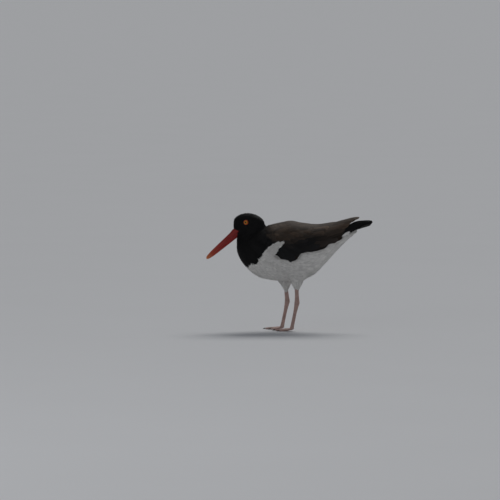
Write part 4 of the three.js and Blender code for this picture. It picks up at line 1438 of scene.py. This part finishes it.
class OYSTER_OT_legs(bpy.types.Operator):
    """Makes each scaled leg and foot in one, and the claws."""

    bl_idname = "oystercatcher.legs"
    bl_label = "Legs"

    def execute(self, context):
        chosen = settings("leg")
        scales = bare_skin_material("leg_scales", chosen.scale_colour, 780, 0.25 * MM, 0.5, 0.22)
        horn = bare_skin_material("claw_horn", chosen.claw, 300, 0.1 * MM, 0.35, 0.1)
        cells = bpy.data.textures.new("scale_cells", "VORONOI")
        cells.noise_scale = 1.5 * MM
        for side, (sign, _, cuff_x, cuff_z) in THIGHS.items():
            lean = (ANKLE_HEIGHT - HEEL_HEIGHT) * math.tan(SHANK_LEAN)
            heel = np.array((ANKLES[side] - lean, sign * LEG_SPREAD, HEEL_HEIGHT))
            parts, claws = [self.shank(heel, ANKLES[side], cuff_x, cuff_z)], []
            for turn, length, thick in TOES:
                way = math.radians(turn) * sign
                ahead = np.array((-math.cos(way), math.sin(way), 0))
                toe, tip = self.toe(heel, ahead, length, thick)
                parts.append(toe)
                claws.append(self.claw(tip, ahead, length))
            leg = self.joined(f"leg_{side}", parts)
            apply(leg, "REMESH", mode="VOXEL", voxel_size=0.4 * MM)
            apply(leg, "SMOOTH", factor=0.5, iterations=7)
            apply(leg, "DISPLACE", texture=cells, strength=-0.3 * MM, mid_level=0.3, texture_coords="LOCAL")
            place = points_of(leg.data) / MM
            place[:, 2] = np.maximum(place[:, 2], 0.05)
            move_points(leg.data, place)
            smooth_shading(leg)
            settle(leg, "leg_scales", scales, f"shank_{side}", f"foot_{side}")
            claw = self.joined(f"claws_{side}", claws)
            smooth_shading(claw)
            settle(claw, "leg_scales", horn)
        return {"FINISHED"}

    def joined(self, name, parts):
        """Several parts as one object."""
        only(*parts)
        bpy.ops.object.join()
        parts[0].name = name
        return parts[0]

    def shank(self, heel, ankle_x, cuff_x, cuff_z):
        """The bare leg, from the foot up into its cuff of feathers."""
        z = np.array([4.5, 8, 14, 22, 30, 40, 48, 54, 58, 62, 66, 71, 77, 84, 92, 101])
        x = np.interp(z, (HEEL_HEIGHT, ANKLE_HEIGHT, cuff_z), (heel[0], ankle_x, cuff_x))
        along, across = np.interp(z, *SHANK[:2]), np.interp(z, SHANK[0], SHANK[2])
        path = np.stack([x, np.full(len(z), heel[1]), z], 1)
        return tube("shank", path, np.stack([across, along], 1))

    def toe(self, heel, ahead, length, thick):
        """One toe with its pads, and where it ends."""
        level = np.stack([0 * TOE_LEVEL, 0 * TOE_LEVEL, TOE_LEVEL], 1)
        line = heel * (1, 1, 0) + ahead * (TOE_STEPS * length)[:, None] + level
        half = thick / 2 * TOE_SWELL
        return tube("toe", line, np.stack([half, np.minimum(half * 0.86, TOE_LEVEL)], 1), 24), line[-1]

    def claw(self, tip, ahead, length):
        """One claw, which curves down to the ground and tapers."""
        t = np.linspace(0, 1, 9)
        nail = tip + ahead * (length * 0.02 + t * CLAW_LENGTH)[:, None]
        radius = 1.25 * (1 - t) ** 0.7 + 0.12
        nail[:, 2] = np.maximum(2.3 + 0.9 * t - 2.6 * t**2, radius + 0.05)
        return tube("claw", nail, np.stack([radius * 0.8, radius], 1), 20)


STEPS = ("stage", "skin", "small_feathers", "wings", "tail", "bill", "eyes", "legs")


class OYSTER_PT_panel(bpy.types.Panel):
    """Lists the bird's pieces."""

    bl_label = "Oystercatcher"
    bl_space_type = "VIEW_3D"
    bl_region_type = "UI"
    bl_category = "Oystercatcher"

    def draw(self, context):
        for name in STEPS:
            self.layout.operator("oystercatcher." + name)


GROUPS = {"plumage": PlumageSettings, "bill": BillSettings, "eye": EyeSettings, "leg": LegSettings,
          "stage": StageSettings}
CLASSES = (*GROUPS.values(), OYSTER_OT_stage, OYSTER_OT_skin, OYSTER_OT_small_feathers, OYSTER_OT_wings,
           OYSTER_OT_tail, OYSTER_OT_bill, OYSTER_OT_eyes, OYSTER_OT_legs, OYSTER_PT_panel)


def register():
    """Adds the settings, the operators and the panel."""
    for each in CLASSES:
        bpy.utils.register_class(each)
    for name, kind in GROUPS.items():
        setattr(bpy.types.Scene, "oystercatcher_" + name, PointerProperty(type=kind))


def unregister():
    """Takes them away again."""
    for name in GROUPS:
        delattr(bpy.types.Scene, "oystercatcher_" + name)
    for each in reversed(CLASSES):
        bpy.utils.unregister_class(each)


def main():
    """Makes every piece in order."""
    register()
    for name in STEPS:
        getattr(bpy.ops.oystercatcher, name)()


if __name__ == "__main__":
    main()
